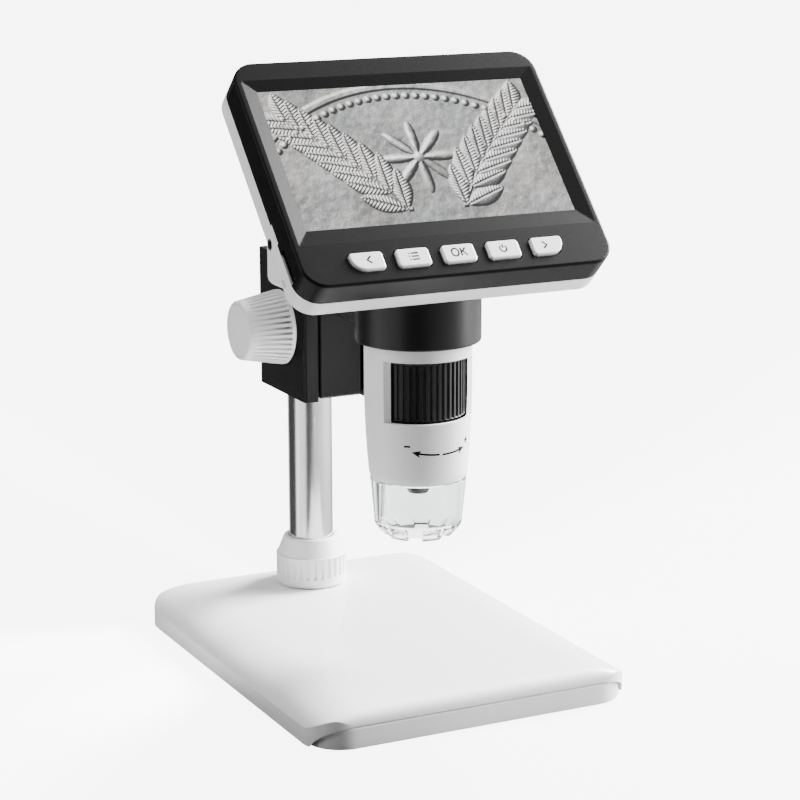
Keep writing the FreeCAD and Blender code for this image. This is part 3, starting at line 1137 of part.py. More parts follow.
def make_head():
    """Make the two shells of the head, the screen, the boards, the battery, the sockets and the screws."""
    rear = slab("rear_flange", both("head_half_width"), ("-head_bottom", "head_top"), four("head_corner"),
                "rear_depth - seam_depth")
    soften(rear, "Fillet", "rear_edge", lambda edge, middle: middle.z < 0.01)
    place_on_head(rear, "0", "0", "-rear_depth")
    tab = box("rear_tab", ("-head_half_width", "-head_half_width + shell_wall"),
              ("-inlet_drop - inlet_tab / 2", "-inlet_drop + inlet_tab / 2"),
              ("-seam_depth - 1", "-seam_depth + inlet_tab_rise"), True)
    room = slab("rear_room", both("head_half_width - shell_wall"),
                ("-head_bottom + shell_wall", "head_top - shell_wall"),
                four("head_corner - shell_wall"), "rear_depth")
    place_on_head(room, "0", "0", "-rear_depth + shell_wall")
    outer = fuse("rear_outer", rear, tab, hump("hump_outer", "0", HEAD_LOW, "rear_depth - shell_wall / 2"))
    inner = hump("hump_inner", "shell_wall", f"{HEAD_LOW} + hump_floor", "rear_depth - shell_wall - 1")
    hollow = cut("rear_hollow", outer, room, inner)
    post_places = [(f"{x}board_post_x", f"{y}board_post_y") for x in ("-", "") for y in ("-", "")]
    board_back = "(board_depth + board_thickness + running_gap)"
    posts = [cylinder(f"board_post_{i}", "post_radius", (x, up, "-rear_depth + shell_wall / 2"),
                      f"rear_depth - shell_wall / 2 - {board_back}", on_head=True)
             for i, (x, up) in enumerate(post_places)]
    posts += [cylinder(f"rear_sleeve_{i}", "head_screw_head + sleeve_wall",
                       (x, up, "-rear_depth + shell_wall / 2"),
                       "rear_depth - shell_wall / 2 - seam_depth - running_gap", on_head=True)
              for i, (x, up) in enumerate(head_screw_places())]
    inlet_centre = (f"{HEAD_Y} - inlet_drop * cos(head_tilt) + inlet_depth * sin(head_tilt)",
                    f"{HEAD_Z} - inlet_drop * sin(head_tilt) - inlet_depth * cos(head_tilt)")
    boss = common("inlet_boss",
                  cylinder("inlet_boss_bar", "inlet_radius + inlet_wall",
                           ("-head_half_width + shell_wall / 2", *inlet_centre),
                           "inlet_length", "x"),
                  box("inlet_boss_room", ("-head_half_width", "0"), both("head_bottom"),
                      ("-rear_depth", "-seam_depth"), True))
    cuts = [cylinder("neck_hole", "barrel_radius + running_gap", ("0", "axis_y", f"{HEAD_LOW} - 1"),
                     "hump_floor + 2"),
            cylinder("inlet_hole", "inlet_radius + running_gap", ("-head_half_width - 1", *inlet_centre),
                     "inlet_length + shell_wall + 2", "x")]
    angles = [45 + 360 * i / number("barrel_screw_count") for i in range(int(number("barrel_screw_count")))]
    cuts += [cylinder(f"floor_pilot_{i}", "head_screw_radius + running_gap",
                      (f"barrel_screw_circle * cos({a})", f"axis_y + barrel_screw_circle * sin({a})",
                       f"{HEAD_LOW} + hump_floor / 4"), "hump_floor") for i, a in enumerate(angles)]
    cuts += [cylinder(f"board_pilot_{i}", "head_screw_radius + running_gap",
                      (x, up, f"-{board_back} - board_screw_length - 1"), "board_screw_length * 2",
                      on_head=True) for i, (x, up) in enumerate(post_places)]
    cuts += [cylinder(f"rear_screw_hole_{i}", "head_screw_radius + running_gap", (x, up, "-rear_depth - 1"),
                      "rear_depth", on_head=True) for i, (x, up) in enumerate(head_screw_places())]
    cuts += [cylinder(f"rear_screw_sink_{i}", "head_screw_head + running_gap", (x, up, "-rear_depth - 1"),
                      "1 + screw_head_height + seat_gap", on_head=True) for i,
                      (x, up) in enumerate(head_screw_places())]
    rear_shell = cut("rear_shell", fuse("rear_solid", hollow, boss, *posts), *cuts)

    bezel = slab("bezel_blank", both("head_half_width"), ("-head_bottom", "head_top"), four("head_corner"),
                 "seam_depth - seam_gap + face_height")
    soften(bezel, "Fillet", "face_edge",
           lambda edge, middle: middle.z > number("seam_depth - seam_gap + face_height") - 0.01)
    place_on_head(bezel, "0", "0", "-seam_depth + seam_gap")
    bezel_room = slab("bezel_room", both("head_half_width - bezel_wall"),
                      ("-head_bottom + bezel_wall", "head_top - bezel_wall"),
                      four("head_corner - bezel_wall"),
                      "seam_depth")
    place_on_head(bezel_room, "0", "0", "-seam_depth - bezel_back")
    slope = doc.addObject("Part::Wedge", "bezel_slope")
    for prop, text in (("Xmin", "-screen_half_width"), ("Xmax", "screen_half_width"), ("Ymin", "0"),
                       ("Ymax", "face_height - slope_foot"), ("Zmin", "-screen_half_height"),
                       ("Zmax", "screen_half_height"), ("X2min", "-screen_half_width - slope_side"),
                       ("X2max", "screen_half_width + slope_side"),
                       ("Z2min", "-screen_half_height - slope_top"),
                       ("Z2max", "screen_half_height + slope_bottom")):
        bind(slope, prop, text)
    place_on_head(slope, "0", "0", "slope_foot", 90)
    opening = box("bezel_opening", both("screen_half_width"), both("screen_half_height"),
                  ("-1", "slope_foot"), True)
    bosses = [cylinder(f"bezel_boss_{i}", "head_screw_head + boss_wall",
                       (x, up, "-seam_depth + 2 * running_gap"),
                       "seam_depth", on_head=True) for i, (x, up) in enumerate(head_screw_places())]
    board_front = "(switch_top + switch_button + switch_height)"
    stands = [cylinder(f"key_stand_{i}", "key_stem_radius",
                       (f"key_shift + ({step}) * key_pitch", "-key_drop", f"-{board_front} + running_gap"),
                       board_front, on_head=True) for i, step in enumerate((-1.5, -0.5, 0.5, 1.5))]
    holes = []
    for index in range(5):
        hole = key_outline(f"key_hole_{index}", index, "key_gap", "face_height + 2")
        holes.append(place_on_head(hole, key_x(index), "-key_drop", "-1"))
    tab_gap = box("bezel_tab_gap", ("-head_half_width - 1", "-head_half_width + shell_wall + tab_room"),
                  ("-inlet_drop - inlet_tab / 2 - tab_room", "-inlet_drop + inlet_tab / 2 + tab_room"),
                  ("-seam_depth - 1", "-seam_depth + inlet_tab_rise + tab_room"), True)
    card_up = ("-card_drop - card_width / 2", "-card_drop + card_width / 2")
    card_slot = box("card_opening", ("-head_half_width - 1", "-head_half_width + bezel_wall + 1"), card_up,
                    ("-card_depth - card_height / 2", "-card_depth + card_height / 2"), True)
    notch = box("card_notch_cut", ("-head_half_width - 1", "-head_half_width + card_notch"), card_up,
                ("-seam_depth - 1", "-card_depth + 2 * card_height"), True)
    pilots = [cylinder(f"bezel_pilot_{i}", "head_screw_radius + running_gap", (x, up, "-seam_depth - 1"),
                       "seam_depth - bezel_back", on_head=True) for i,
                       (x, up) in enumerate(head_screw_places())]
    bezel_solid = fuse("bezel_solid", cut("bezel_hollow", bezel, bezel_room), *bosses, *stands)
    front_bezel = cut("front_bezel", bezel_solid, slope, opening, tab_gap, card_slot, notch, *holes,
                      *pilots)

    display = box("display_panel", both("display_half_width"), both("display_half_height"),
                  ("-display_front - display_thickness", "-display_front"), True)
    board = box("board_blank", both("board_half_width"), both("board_half_height"),
                ("-board_depth - board_thickness", "-board_depth"), True)
    board_holes = [cylinder(f"board_hole_{i}", "head_screw_radius + running_gap",
                            (x, up, f"-{board_back} - 1"), "4",
                            on_head=True) for i, (x, up) in enumerate(post_places)]
    main_board = cut("main_board", board, *board_holes)
    board_screws = []
    for i, (x, up) in enumerate(post_places):
        board_screws.append(cylinder(f"board_screw_{i}", "head_screw_radius",
                                     (x, up, f"-{board_back} - board_screw_length"),
                                     "board_screw_length + board_thickness", on_head=True))
    processor = box("processor", both("processor_width / 2"), both("processor_width / 2"),
                    (f"-{board_back} - processor_height", f"-{board_back}"), True)
    back_inside = "(axis_y + hump_back - shell_wall)"
    battery = box("battery", both("battery_width / 2"),
                  (f"{back_inside} - seat_gap - battery_thickness", f"{back_inside} - seat_gap"),
                  (f"{HEAD_LOW} + hump_floor + battery_rise",
                   f"{HEAD_LOW} + hump_floor + battery_rise + battery_height"))
    inlet_start = "-head_half_width + inlet_inset"
    sleeve = cylinder("inlet_sleeve", "inlet_radius", (inlet_start, *inlet_centre), "inlet_length", "x")
    socket_room = cylinder("inlet_bore_cut", "inlet_bore", (f"{inlet_start} - 1", *inlet_centre),
                           "inlet_length", "x")
    pin = cylinder("inlet_pin_bar", "inlet_pin", (f"{inlet_start} + inlet_pin_inset", *inlet_centre),
                   "inlet_length - inlet_pin_inset", "x")
    power_inlet = fuse("power_inlet", cut("inlet_shell", sleeve, socket_room), pin)
    card_block = box("card_block", ("-head_half_width + bezel_wall + slide_gap",
                                    "-head_half_width + bezel_wall + slide_gap + card_socket_length"),
                     ("-card_drop - card_socket_width / 2", "-card_drop + card_socket_width / 2"),
                     (f"-{board_front} - board_thickness - card_socket_height",
                      f"-{board_front} - board_thickness"), True)
    card_room = box("card_room",
                    ("-head_half_width", "-head_half_width + bezel_wall + card_socket_length - 1"),
                    card_up, ("-card_depth - card_height / 2", "-card_depth + card_height / 2"), True)
    card_socket = cut("card_socket", card_block, card_room)
    screws = []
    for i, (x, up) in enumerate(head_screw_places()):
        low = "-rear_depth + head_sunk + running_gap"
        screws.append(cylinder(f"head_screw_top_{i}", "head_screw_head", (x, up, low), "screw_head_height",
                               on_head=True))
        screws.append(cylinder(f"head_screw_shank_{i}", "head_screw_radius", (x, up, low),
                               "screw_head_height + head_screw_length", on_head=True))
    return {"rear_shell": rear_shell, "front_bezel": front_bezel, "display_panel": display,
            "main_board": main_board, "board_screws": fuse("board_screws", *board_screws),
            "processor": processor, "battery": battery, "power_inlet": power_inlet,
            "card_socket": card_socket,
            "head_screws": fuse("head_screws", *screws)}


def check(things):
    """Stop if any object failed, or a piece has no valid shape."""
    failed = [item.Label for item in doc.Objects if "Invalid" in item.State or "Error" in item.State]
    if failed:
        raise ValueError("failed objects: " + ", ".join(failed))
    for label, thing in things.items():
        if thing.Shape.isNull() or not thing.Shape.isValid() or not thing.Shape.Solids:
            raise ValueError(label + " has no valid solid")


parts = {}
for make in (make_base, make_column, make_bracket, make_slide, make_knobs, make_barrel, make_lens_cap,
             make_keys, make_head):
    parts.update(make())
doc.recompute()
check(parts)
os.makedirs("parts", exist_ok=True)
for label, thing in parts.items():
    thing.Label = label
    thing.Shape.exportStep(f"parts/{label}.step")
    print(label, len(thing.Shape.Solids), round(thing.Shape.Volume, 1))
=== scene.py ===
"""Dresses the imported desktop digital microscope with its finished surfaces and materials.

Lengths in the classes are millimetres in the CAD's own frame: +X to the right, +Y to the back,
+Z up, with the origin at the middle of the footprint. They turn to metres when a mesh is made.
Cells of a noise are counted per metre. Heights of prints are over the surface they lie on.
"""

import logging
import math
from dataclasses import dataclass, field, replace
from enum import Enum
from typing import Callable, Sequence

import bmesh
import bpy
import numpy as np
from mathutils import Matrix, Vector


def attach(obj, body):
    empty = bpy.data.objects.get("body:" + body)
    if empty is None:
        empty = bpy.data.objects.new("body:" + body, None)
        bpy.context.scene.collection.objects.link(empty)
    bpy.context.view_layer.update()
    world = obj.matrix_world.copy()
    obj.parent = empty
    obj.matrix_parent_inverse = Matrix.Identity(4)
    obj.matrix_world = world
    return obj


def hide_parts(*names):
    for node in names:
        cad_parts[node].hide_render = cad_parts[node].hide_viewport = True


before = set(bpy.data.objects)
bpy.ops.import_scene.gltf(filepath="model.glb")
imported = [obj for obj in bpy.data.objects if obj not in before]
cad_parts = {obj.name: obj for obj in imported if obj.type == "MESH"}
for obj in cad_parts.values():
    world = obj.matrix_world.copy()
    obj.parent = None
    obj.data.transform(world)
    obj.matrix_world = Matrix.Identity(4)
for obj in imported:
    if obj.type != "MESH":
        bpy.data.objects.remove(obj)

Array = np.ndarray
Place = Callable[[Array], Array]
Shape = Callable[[Array, Array, Array], tuple[Array, Array]]
Span = tuple[float, float]
Spot = tuple[float, float, float]
Box = tuple[float, float, float, float]
Thing = bpy.types.Object
Finish = bpy.types.Material
Tree = bpy.types.NodeTree
Socket = bpy.types.NodeSocket

MM = 0.001
PHOTO_PIXELS = 800
SENSOR_MM = 36.0
CREASE = 32.0
log = logging.getLogger("microscope")


class Side(Enum):
    """The two sides of the stand that carry a focus knob."""

    LEFT = -1.0
    RIGHT = 1.0


class Key(Enum):
    """The five keys, by their place from the left."""

    LEFT = 0
    MENU = 1
    OK = 2
    POWER = 3
    RIGHT = 4


def to_linear(srgb: Array) -> Array:
    """Turn sRGB values from 0 to 1 to linear ones."""
    return np.where(srgb <= 0.04045, srgb / 12.92, ((srgb + 0.055) / 1.055) ** 2.4)


def linear(hex_colour: str) -> tuple[float, float, float, float]:
    """Turn an sRGB hex colour of six digits to linear RGBA with an alpha of one."""
    parts = np.array([int(hex_colour[i:i + 2], 16) / 255 for i in (0, 2, 4)])
    return (*to_linear(parts).tolist(), 1.0)


def add_node(tree: Tree, kind: str, values: dict | None = None, links: dict | None = None,
             settings: dict | None = None) -> bpy.types.Node:
    """Add one shader node.

    Args:
        tree: the material's node tree.
        kind: the node's type, without its ShaderNode prefix.
        values: socket name or number to its constant.
        links: socket name or number to the output socket that feeds it.
        settings: the node's own properties.

    Returns:
        The new node.
    """
    node = tree.nodes.new("ShaderNode" + kind)
    for key, value in (settings or {}).items():
        setattr(node, key, value)
    wire(tree, node, values or {}, links or {})
    return node


def wire(tree: Tree, node: bpy.types.Node, values: dict, links: dict) -> None:
    """Set a node's constants and link what feeds its other sockets.

    Args:
        tree: the node's tree.
        node: the node.
        values: socket name or number to its constant.
        links: socket name or number to the output socket that feeds it.
    """
    for key, value in values.items():
        node.inputs[key].default_value = value
    for key, source in links.items():
        tree.links.new(source, node.inputs[key])


def blank_material(name: str) -> tuple[Finish, Tree, bpy.types.Node, Socket]:
    """Start a material.

    Args:
        name: the material's name.

    Returns:
        The material, its tree, its principled shader and its object coordinates.
    """
    material = bpy.data.materials.new(name)
    material.use_nodes = True
    tree = material.node_tree
    return material, tree, tree.nodes["Principled BSDF"], add_node(tree, "TexCoord").outputs["Object"]


def ramp(tree: Tree, source: Socket, *stops: tuple[float, str]) -> Socket:
    """Turn a value to a colour that blends from stop to stop.

    Args:
        tree: the material's node tree.
        source: the value.
        stops: two or more places, from low to high, each with its sRGB hex colour.

    Returns:
        The colour's socket.
    """
    node = add_node(tree, "ValToRGB", links={"Fac": source})
    knots = node.color_ramp.elements
    knots[0].position, knots[1].position = stops[0][0], stops[-1][0]
    for at, _ in stops[1:-1]:
        knots.new(at)
    for knot, (_, colour) in zip(knots, stops):
        knot.color = linear(colour)
    return node.outputs["Color"]


def noise(tree: Tree, place: Socket, cells: float, detail: float, roughness: float = 0.5) -> Socket:
    """Return the value of a noise with so many cells to the metre."""
    values = {"Scale": cells, "Detail": detail, "Roughness": roughness}
    return add_node(tree, "TexNoise", values, {"Vector": place}).outputs["Fac"]


def mapped(tree: Tree, source: Socket, end: Span, start: Span = (0.0, 1.0), kind: str = "LINEAR") -> Socket:
    """Return a value taken from its starting range to an end range."""
    values = {"From Min": start[0], "From Max": start[1], "To Min": end[0], "To Max": end[1]}
    return add_node(tree, "MapRange", values, {"Value": source},
                    {"interpolation_type": kind}).outputs["Result"]


def maths(tree: Tree, operation: str, first: Socket, second: Socket | float) -> Socket:
    """Return the result of one operation on a value and a second value or constant."""
    values, links = ({1: second}, {0: first}) if isinstance(second, float) else ({}, {0: first, 1: second})
    return add_node(tree, "Math", values, links, {"operation": operation}).outputs["Value"]


def bump(tree: Tree, height: Socket, strength: float, depth_mm: float) -> Socket:
    """Return the normal of a surface bumped by a height."""
    values = {"Strength": strength, "Distance": depth_mm * MM}
    return add_node(tree, "Bump", values, {"Height": height}).outputs["Normal"]


@dataclass(frozen=True)
class MouldedPlastic:
    """Injection-moulded ABS: an even colour with a fine spark-eroded grain that softens its gloss.

    A slow noise stands for flow marks in the moulding, and the grain is drawn a few times coarser
    than the real 0.1 mm texture so that it shows.
    """

    name: str
    light: str
    dark: str
    roughness: float
    spread: float = 0.06
    grain_mm: float = 0.5
    depth_mm: float = 0.012
    coat: float = 0.0
    coat_roughness: float = 0.12
    glow: float = 0.0
    gloss: float = 0.5
    ior: float = 1.53
    flow_cells: float = 28.0

    def make(self) -> Finish:
        """Return the plastic as a material.

        Returns:
            The material.
        """
        material, tree, shader, place = blank_material(self.name)
        flow = noise(tree, place, self.flow_cells, 2.0)
        grain = noise(tree, place, 1.0 / (self.grain_mm * MM), 3.0, 0.55)
        rough = mapped(tree, grain, (self.roughness - self.spread, self.roughness + self.spread))
        wire(tree, shader,
             {"IOR": self.ior, "Specular IOR Level": self.gloss, "Coat Weight": self.coat,
              "Coat Roughness": self.coat_roughness},
             {"Base Color": ramp(tree, flow, (0.3, self.dark), (0.7, self.light)), "Roughness": rough,
              "Normal": bump(tree, grain, 0.5, self.depth_mm)})
        if self.glow:
            wire(tree, shader, {"Emission Color": linear(self.light), "Emission Strength": self.glow}, {})
        return material


@dataclass(frozen=True)
class TurnedMetal:
    """Turned, drawn or plated metal: fine lines along one way, stretched from a noise.

    line_mm is the spacing of the lines and run is how much longer they are along each axis.
    """

    name: str
    light: str
    dark: str
    roughness: float
    line_mm: float = 0.25
    run: Spot = (1.0, 1.0, 0.03)
    depth_mm: float = 0.003
    cloud_cells: float = 60.0

    def make(self) -> Finish:
        """Return the metal as a material.

        Returns:
            The material.
        """
        material, tree, shader, place = blank_material(self.name)
        drawn = add_node(tree, "Mapping", {"Scale": self.run}, {"Vector": place}).outputs["Vector"]
        lines = noise(tree, drawn, 1.0 / (self.line_mm * MM), 2.0)
        cloud = noise(tree, place, self.cloud_cells, 3.0)
        wire(tree, shader, {"Metallic": 1.0},
             {"Base Color": ramp(tree, cloud, (0.3, self.dark), (0.7, self.light)),
              "Roughness": mapped(tree, lines, (self.roughness * 0.8, self.roughness * 1.3)),
              "Normal": bump(tree, lines, 0.4, self.depth_mm)})
        return material


@dataclass(frozen=True)
class ClearPlastic:
    """Polished clear acrylic or glass: it bends light, with faint swirls from the mould."""

    name: str
    tint: str
    ior: float
    roughness: float = 0.015
    swirl_cells: float = 240.0
    swirl_mm: float = 0.01

    def make(self) -> Finish:
        """Return the clear plastic as a material.

        Returns:
            The material.
        """
        material, tree, shader, place = blank_material(self.name)
        swirl = noise(tree, place, self.swirl_cells, 1.0)
        wire(tree, shader,
             {"Base Color": linear(self.tint), "Transmission Weight": 1.0, "Roughness": self.roughness,
              "IOR": self.ior},
             {"Normal": bump(tree, swirl, 0.12, self.swirl_mm)})
        return material


@dataclass(frozen=True)
class PrintedBoard:
    """Green solder mask over etched copper: tracks show as slightly lighter, raised cells."""

    name: str = "solder_mask"
    track: str = "2d6a3e"
    mask: str = "1b4a2b"
    roughness: float = 0.35
    track_cells: float = 500.0

    def make(self) -> Finish:
        """Return the board as a material.

        Returns:
            The material.
        """
        material, tree, shader, place = blank_material(self.name)
        tracks = add_node(tree, "TexVoronoi", {"Scale": self.track_cells}, {"Vector": place},
                          {"distance": "MANHATTAN"}).outputs["Distance"]
        wire(tree, shader, {"Roughness": self.roughness},
             {"Base Color": ramp(tree, tracks, (0.25, self.track), (0.6, self.mask))})
        return material


@dataclass(frozen=True)
class LitScreen:
    """A lit LCD behind a smooth cover: its picture is the mesh's own colour attribute."""

    name: str = "lit_lcd"
    attribute: str = "picture"
    cover: str = "0b0b0c"
    strength: float = 2.2
    gloss: float = 0.3
    haze_cells: float = 90.0
    haze: Span = (0.16, 0.24)

    def make(self) -> Finish:
        """Return the lit screen as a material.

        Returns:
            The material.
        """
        material, tree, shader, place = blank_material(self.name)
        picture = add_node(tree, "Attribute", settings={"attribute_name": self.attribute}).outputs["Color"]
        rough = mapped(tree, noise(tree, place, self.haze_cells, 2.0), self.haze)
        wire(tree, shader,
             {"Emission Strength": self.strength, "Base Color": linear(self.cover),
              "Specular IOR Level": self.gloss},
             {"Emission Color": picture, "Roughness": rough})
        return material


class Finishes:
    """The object's finishes, each made once."""

    def __init__(self) -> None:
        """Make every material."""
        self.white = MouldedPlastic("white_abs", "f4f4f4", "f0f0f0", 0.34, coat=0.15).make()
        self.knob_white = MouldedPlastic("white_abs_knob", "f0f0ef", "ebebea", 0.42).make()
        self.black = MouldedPlastic("black_abs", "0c0c0d", "08080a", 0.34, depth_mm=0.02, gloss=0.08).make()
        self.key = MouldedPlastic("key_abs", "efefef", "e8e8e8", 0.3, coat=0.2).make()
        self.black_metal = MouldedPlastic("black_powder_coat", "0c0c0d", "08080a", 0.36, grain_mm=0.35,
                                          depth_mm=0.02, gloss=0.18).make()
        self.rubber = MouldedPlastic("black_rubber", "101010", "0a0a0a", 0.45, grain_mm=0.4,
                                     gloss=0.3).make()
        self.ink = MouldedPlastic("screen_print_ink", "0c0c0d", "09090a", 0.55, grain_mm=0.2,
                                  gloss=0.1).make()
        self.chip = MouldedPlastic("epoxy_package", "232325", "1a1a1b", 0.55).make()
        self.film = MouldedPlastic("shrink_film", "5a6b86", "4d5d78", 0.35).make()
        self.nylon = MouldedPlastic("natural_nylon", "e2e1da", "d8d6ce", 0.5).make()
        self.lamp = MouldedPlastic("warm_lamp_lens", "fff6dc", "ffefc4", 0.3, glow=1.2).make()
        self.chrome = TurnedMetal("plated_steel_tube", "dededf", "cfcfd1", 0.16, 0.3,
                                  (1.0, 1.0, 0.02)).make()
        self.steel = TurnedMetal("zinc_plated_steel", "b9bbbd", "a5a7aa", 0.32).make()
        self.dark_steel = TurnedMetal("black_oxide_steel", "4a4a4c", "3b3b3d", 0.4).make()
        self.brass = TurnedMetal("turned_brass", "caa35a", "b58d48", 0.3, run=(0.05, 1.0, 1.0)).make()
        self.anodised = MouldedPlastic("black_anodised_aluminium", "0d0d0e", "09090a", 0.36, grain_mm=0.3,
                                       gloss=0.25).make()
        self.clear = ClearPlastic("clear_acrylic", "f6f9f9", 1.49).make()
        self.lens = ClearPlastic("coated_lens_glass", "dfeaf6", 1.6).make()
        self.board = PrintedBoard().make()
        self.screen = LitScreen().make()


@dataclass(frozen=True)
class Seat:
    """A frame that a surface is worked out in: an origin and three directions."""

    origin: Spot
    across: Spot = (1.0, 0.0, 0.0)
    along: Spot = (0.0, 1.0, 0.0)
    out: Spot = (0.0, 0.0, 1.0)

    def __call__(self, points: Array) -> Array:
        """Return points given as (across, along, out) in the CAD's frame."""
        return np.asarray(self.origin) + points @ np.array([self.across, self.along, self.out])

    def moved(self, across: float, along: float, out: float) -> "Seat":
        """Return the same frame with its origin moved along its own directions."""
        return replace(self, origin=tuple(self(np.array([[across, along, out]]))[0]))


AXIS_Y = -30.5
TILT = math.radians(46.55)
UPRIGHT = Seat((0.0, AXIS_Y, 0.0))
HEAD = Seat((0.0, -30.22, 179.6), (1.0, 0.0, 0.0), (0.0, math.cos(TILT), math.sin(TILT)),
            (0.0, -math.sin(TILT), math.cos(TILT)))


def stand_up(name: str, data: bpy.types.ID) -> Thing:
    """Return a new object of the scene that carries the data."""
    thing = bpy.data.objects.new(name, data)
    bpy.context.scene.collection.objects.link(thing)
    return thing


def solid(name: str, vertices: Array, faces: Sequence[Sequence[int]], finish: Finish,
          crease: float = CREASE) -> Thing:
    """Make a closed mesh object from points in millimetres.

    Doubles are merged and the faces turned to point outwards. Edges sharper than the crease angle
    stay sharp, and the rest shade smoothly, weighted by face area so that flats stay flat.

    Args:
        name: the piece's name.
        vertices: points, one per row.
        faces: vertex numbers of each face.
        finish: the piece's material.
        crease: angle in degrees past which an edge is sharp.

    Returns:
        The new object.
    """
    mesh = bpy.data.meshes.new(name)
    mesh.from_pydata((np.asarray(vertices) * MM).tolist(), [], [list(map(int, f)) for f in faces])
    thing = stand_up(name, mesh)
    mesh.materials.append(finish)
    tidy(thing, crease)
    return thing


def tidy(thing: Thing, crease: float) -> None:
    """Merge doubles, turn the faces outwards and set smooth shading with sharp creases.

    Args:
        thing: the piece.
        crease: angle in degrees past which an edge is sharp.
    """
    mesh = thing.data
    work = bmesh.new()
    work.from_mesh(mesh)
    bmesh.ops.remove_doubles(work, verts=work.verts, dist=1e-6)
    bmesh.ops.dissolve_degenerate(work, edges=work.edges, dist=1e-7)
    bmesh.ops.recalc_face_normals(work, faces=work.faces)
    work.to_mesh(mesh)
    work.free()
    mesh.shade_smooth()
    mesh.set_sharp_from_angle(angle=math.radians(crease))
    if "weight" not in thing.modifiers:
        thing.modifiers.new("weight", "WEIGHTED_NORMAL").keep_sharp = True


def grid_faces(rows: int, columns: int, wrap_rows: bool, wrap_columns: bool) -> Array:
    """Return the quads of a grid of points, as four vertex numbers each.

    Args:
        rows: rows of points.
        columns: points of a row.
        wrap_rows: whether the last row joins the first.
        wrap_columns: whether each row's last point joins its first.

    Returns:
        Array of (quads, 4).
    """
    i = np.arange(rows if wrap_rows else rows - 1)[:, None]
    j = np.arange(columns if wrap_columns else columns - 1)[None, :]
    after_i, after_j = (i + 1) % rows, (j + 1) % columns
    corners = [i * columns + j, i * columns + after_j, after_i * columns + after_j, after_i * columns + j]
    return np.stack([np.broadcast_to(c, (i.size, j.size)) for c in corners], axis=-1).reshape(-1, 4)


def sheet_solid(name: str, points: Array, finish: Finish, loop: bool = False,
                crease: float = CREASE) -> Thing:
    """Make a closed solid from rings of points.

    Args:
        name: the piece's name.
        points: array of (rings, points of a ring, 3), in millimetres.
        finish: the piece's material.
        loop: whether the last ring joins the first; otherwise both end rings are closed flat.
        crease: angle in degrees past which an edge is sharp.

    Returns:
        The new object.
    """
    rows, columns = points.shape[:2]
    faces = grid_faces(rows, columns, loop, True).tolist()
    if not loop:
        faces += [list(range(columns)), list(range((rows - 1) * columns, rows * columns))]
    return solid(name, points.reshape(-1, 3), faces, finish, crease)


def rise(value: Array, start: float, run: float) -> Array:
    """Return 0 before the start and 1 a run past it, straight between; a negative run looks back."""
    return np.clip((value - start) / run, 0, 1)


def round_over(radius: float, steps: int, start: float = 0.0) -> list[Span]:
    """Return the (inset, rise) of points on the quarter circle that rounds an edge over."""
    return [(radius * (1 - math.cos(a)), radius * math.sin(a))
            for a in np.linspace(start, math.pi / 2, steps)]


def arc(centre: Span, radii: Span, angles: Array) -> Array:
    """Return the points of an ellipse at angles in radians, as (points, 2)."""
    return np.stack([centre[0] + radii[0] * np.cos(angles), centre[1] + radii[1] * np.sin(angles)], 1)


def rounded(corners: Sequence[tuple[float, ...]], steps: int = 6, closed: bool = True) -> Array:
    """Return a path whose corners are rounded.

    A corner given as (x, y, radius) becomes an arc that touches both of its sides, of `steps`
    points at even angles; with no radius it stays one point.

    Args:
        corners: x, y and radius of each corner.
        steps: points on each arc.
        closed: whether the last corner joins the first.

    Returns:
        Array of (points, 2).
    """
    plain = np.array([c[:2] for c in corners], float)
    path = []
    for i, (_, _, radius) in enumerate(corners):
        here = plain[i]
        if radius <= 0 or (not closed and i in (0, len(corners) - 1)):
            path.append(here[None])
            continue
        back = plain[i - 1] - here
        ahead = plain[(i + 1) % len(corners)] - here
        back, ahead = back / np.linalg.norm(back), ahead / np.linalg.norm(ahead)
        half = math.acos(np.clip(back @ ahead, -1, 1)) / 2
        centre = here + (back + ahead) / np.linalg.norm(back + ahead) * radius / math.sin(half)
        start = here + back * radius / math.tan(half) - centre
        end = here + ahead * radius / math.tan(half) - centre
        a0, a1 = math.atan2(start[1], start[0]), math.atan2(end[1], end[0])
        a1 = a0 + (a1 - a0 + math.pi) % (2 * math.pi) - math.pi
        path.append(arc(centre, (radius, radius), np.linspace(a0, a1, steps)))
    return np.vstack(path)


def rectangle(sides: Box, radii: float | Sequence[float], steps: int = 8, side: int = 1) -> Array:
    """Return a rounded rectangle, counter-clockwise from its low left corner.

    Args:
        sides: its left, right, low and high sides.
        radii: one radius, or four from the low left corner round to the high left.
        steps: points on each corner's arc.
        side: segments on each straight side.

    Returns:
        Array of (4 * steps + 4 * (side - 1), 2).
    """
    x0, x1, y0, y1 = sides
    radius = [radii] * 4 if isinstance(radii, (int, float)) else list(radii)
    path = []
    spots = ((x0, y0, 1, 1, 180), (x1, y0, -1, 1, 270), (x1, y1, -1, -1, 0), (x0, y1, 1, -1, 90))
    for (x, y, sx, sy, start), r in zip(spots, radius):
        path.append(arc((x + sx * r, y + sy * r), (r, r),
                        np.radians(np.linspace(start, start + 90, steps))))
    if side > 1:
        share = (np.arange(1, side) / side)[:, None]
        path = [np.vstack([path[k], path[k][-1] + share * (path[(k + 1) % 4][0] - path[k][-1])])
                for k in range(4)]
    return np.vstack(path)


def lifted(ring: Array, height: Array | float) -> Array:
    """Give the points of a flat path one height, or a height each."""
    return np.hstack([ring, np.broadcast_to(height, len(ring))[:, None]])


def levels(rings: Sequence[tuple[Array, float]]) -> Array:
    """Stack flat rings at their heights into an array of (rings, points, 3)."""
    return np.stack([lifted(ring, height) for ring, height in rings])


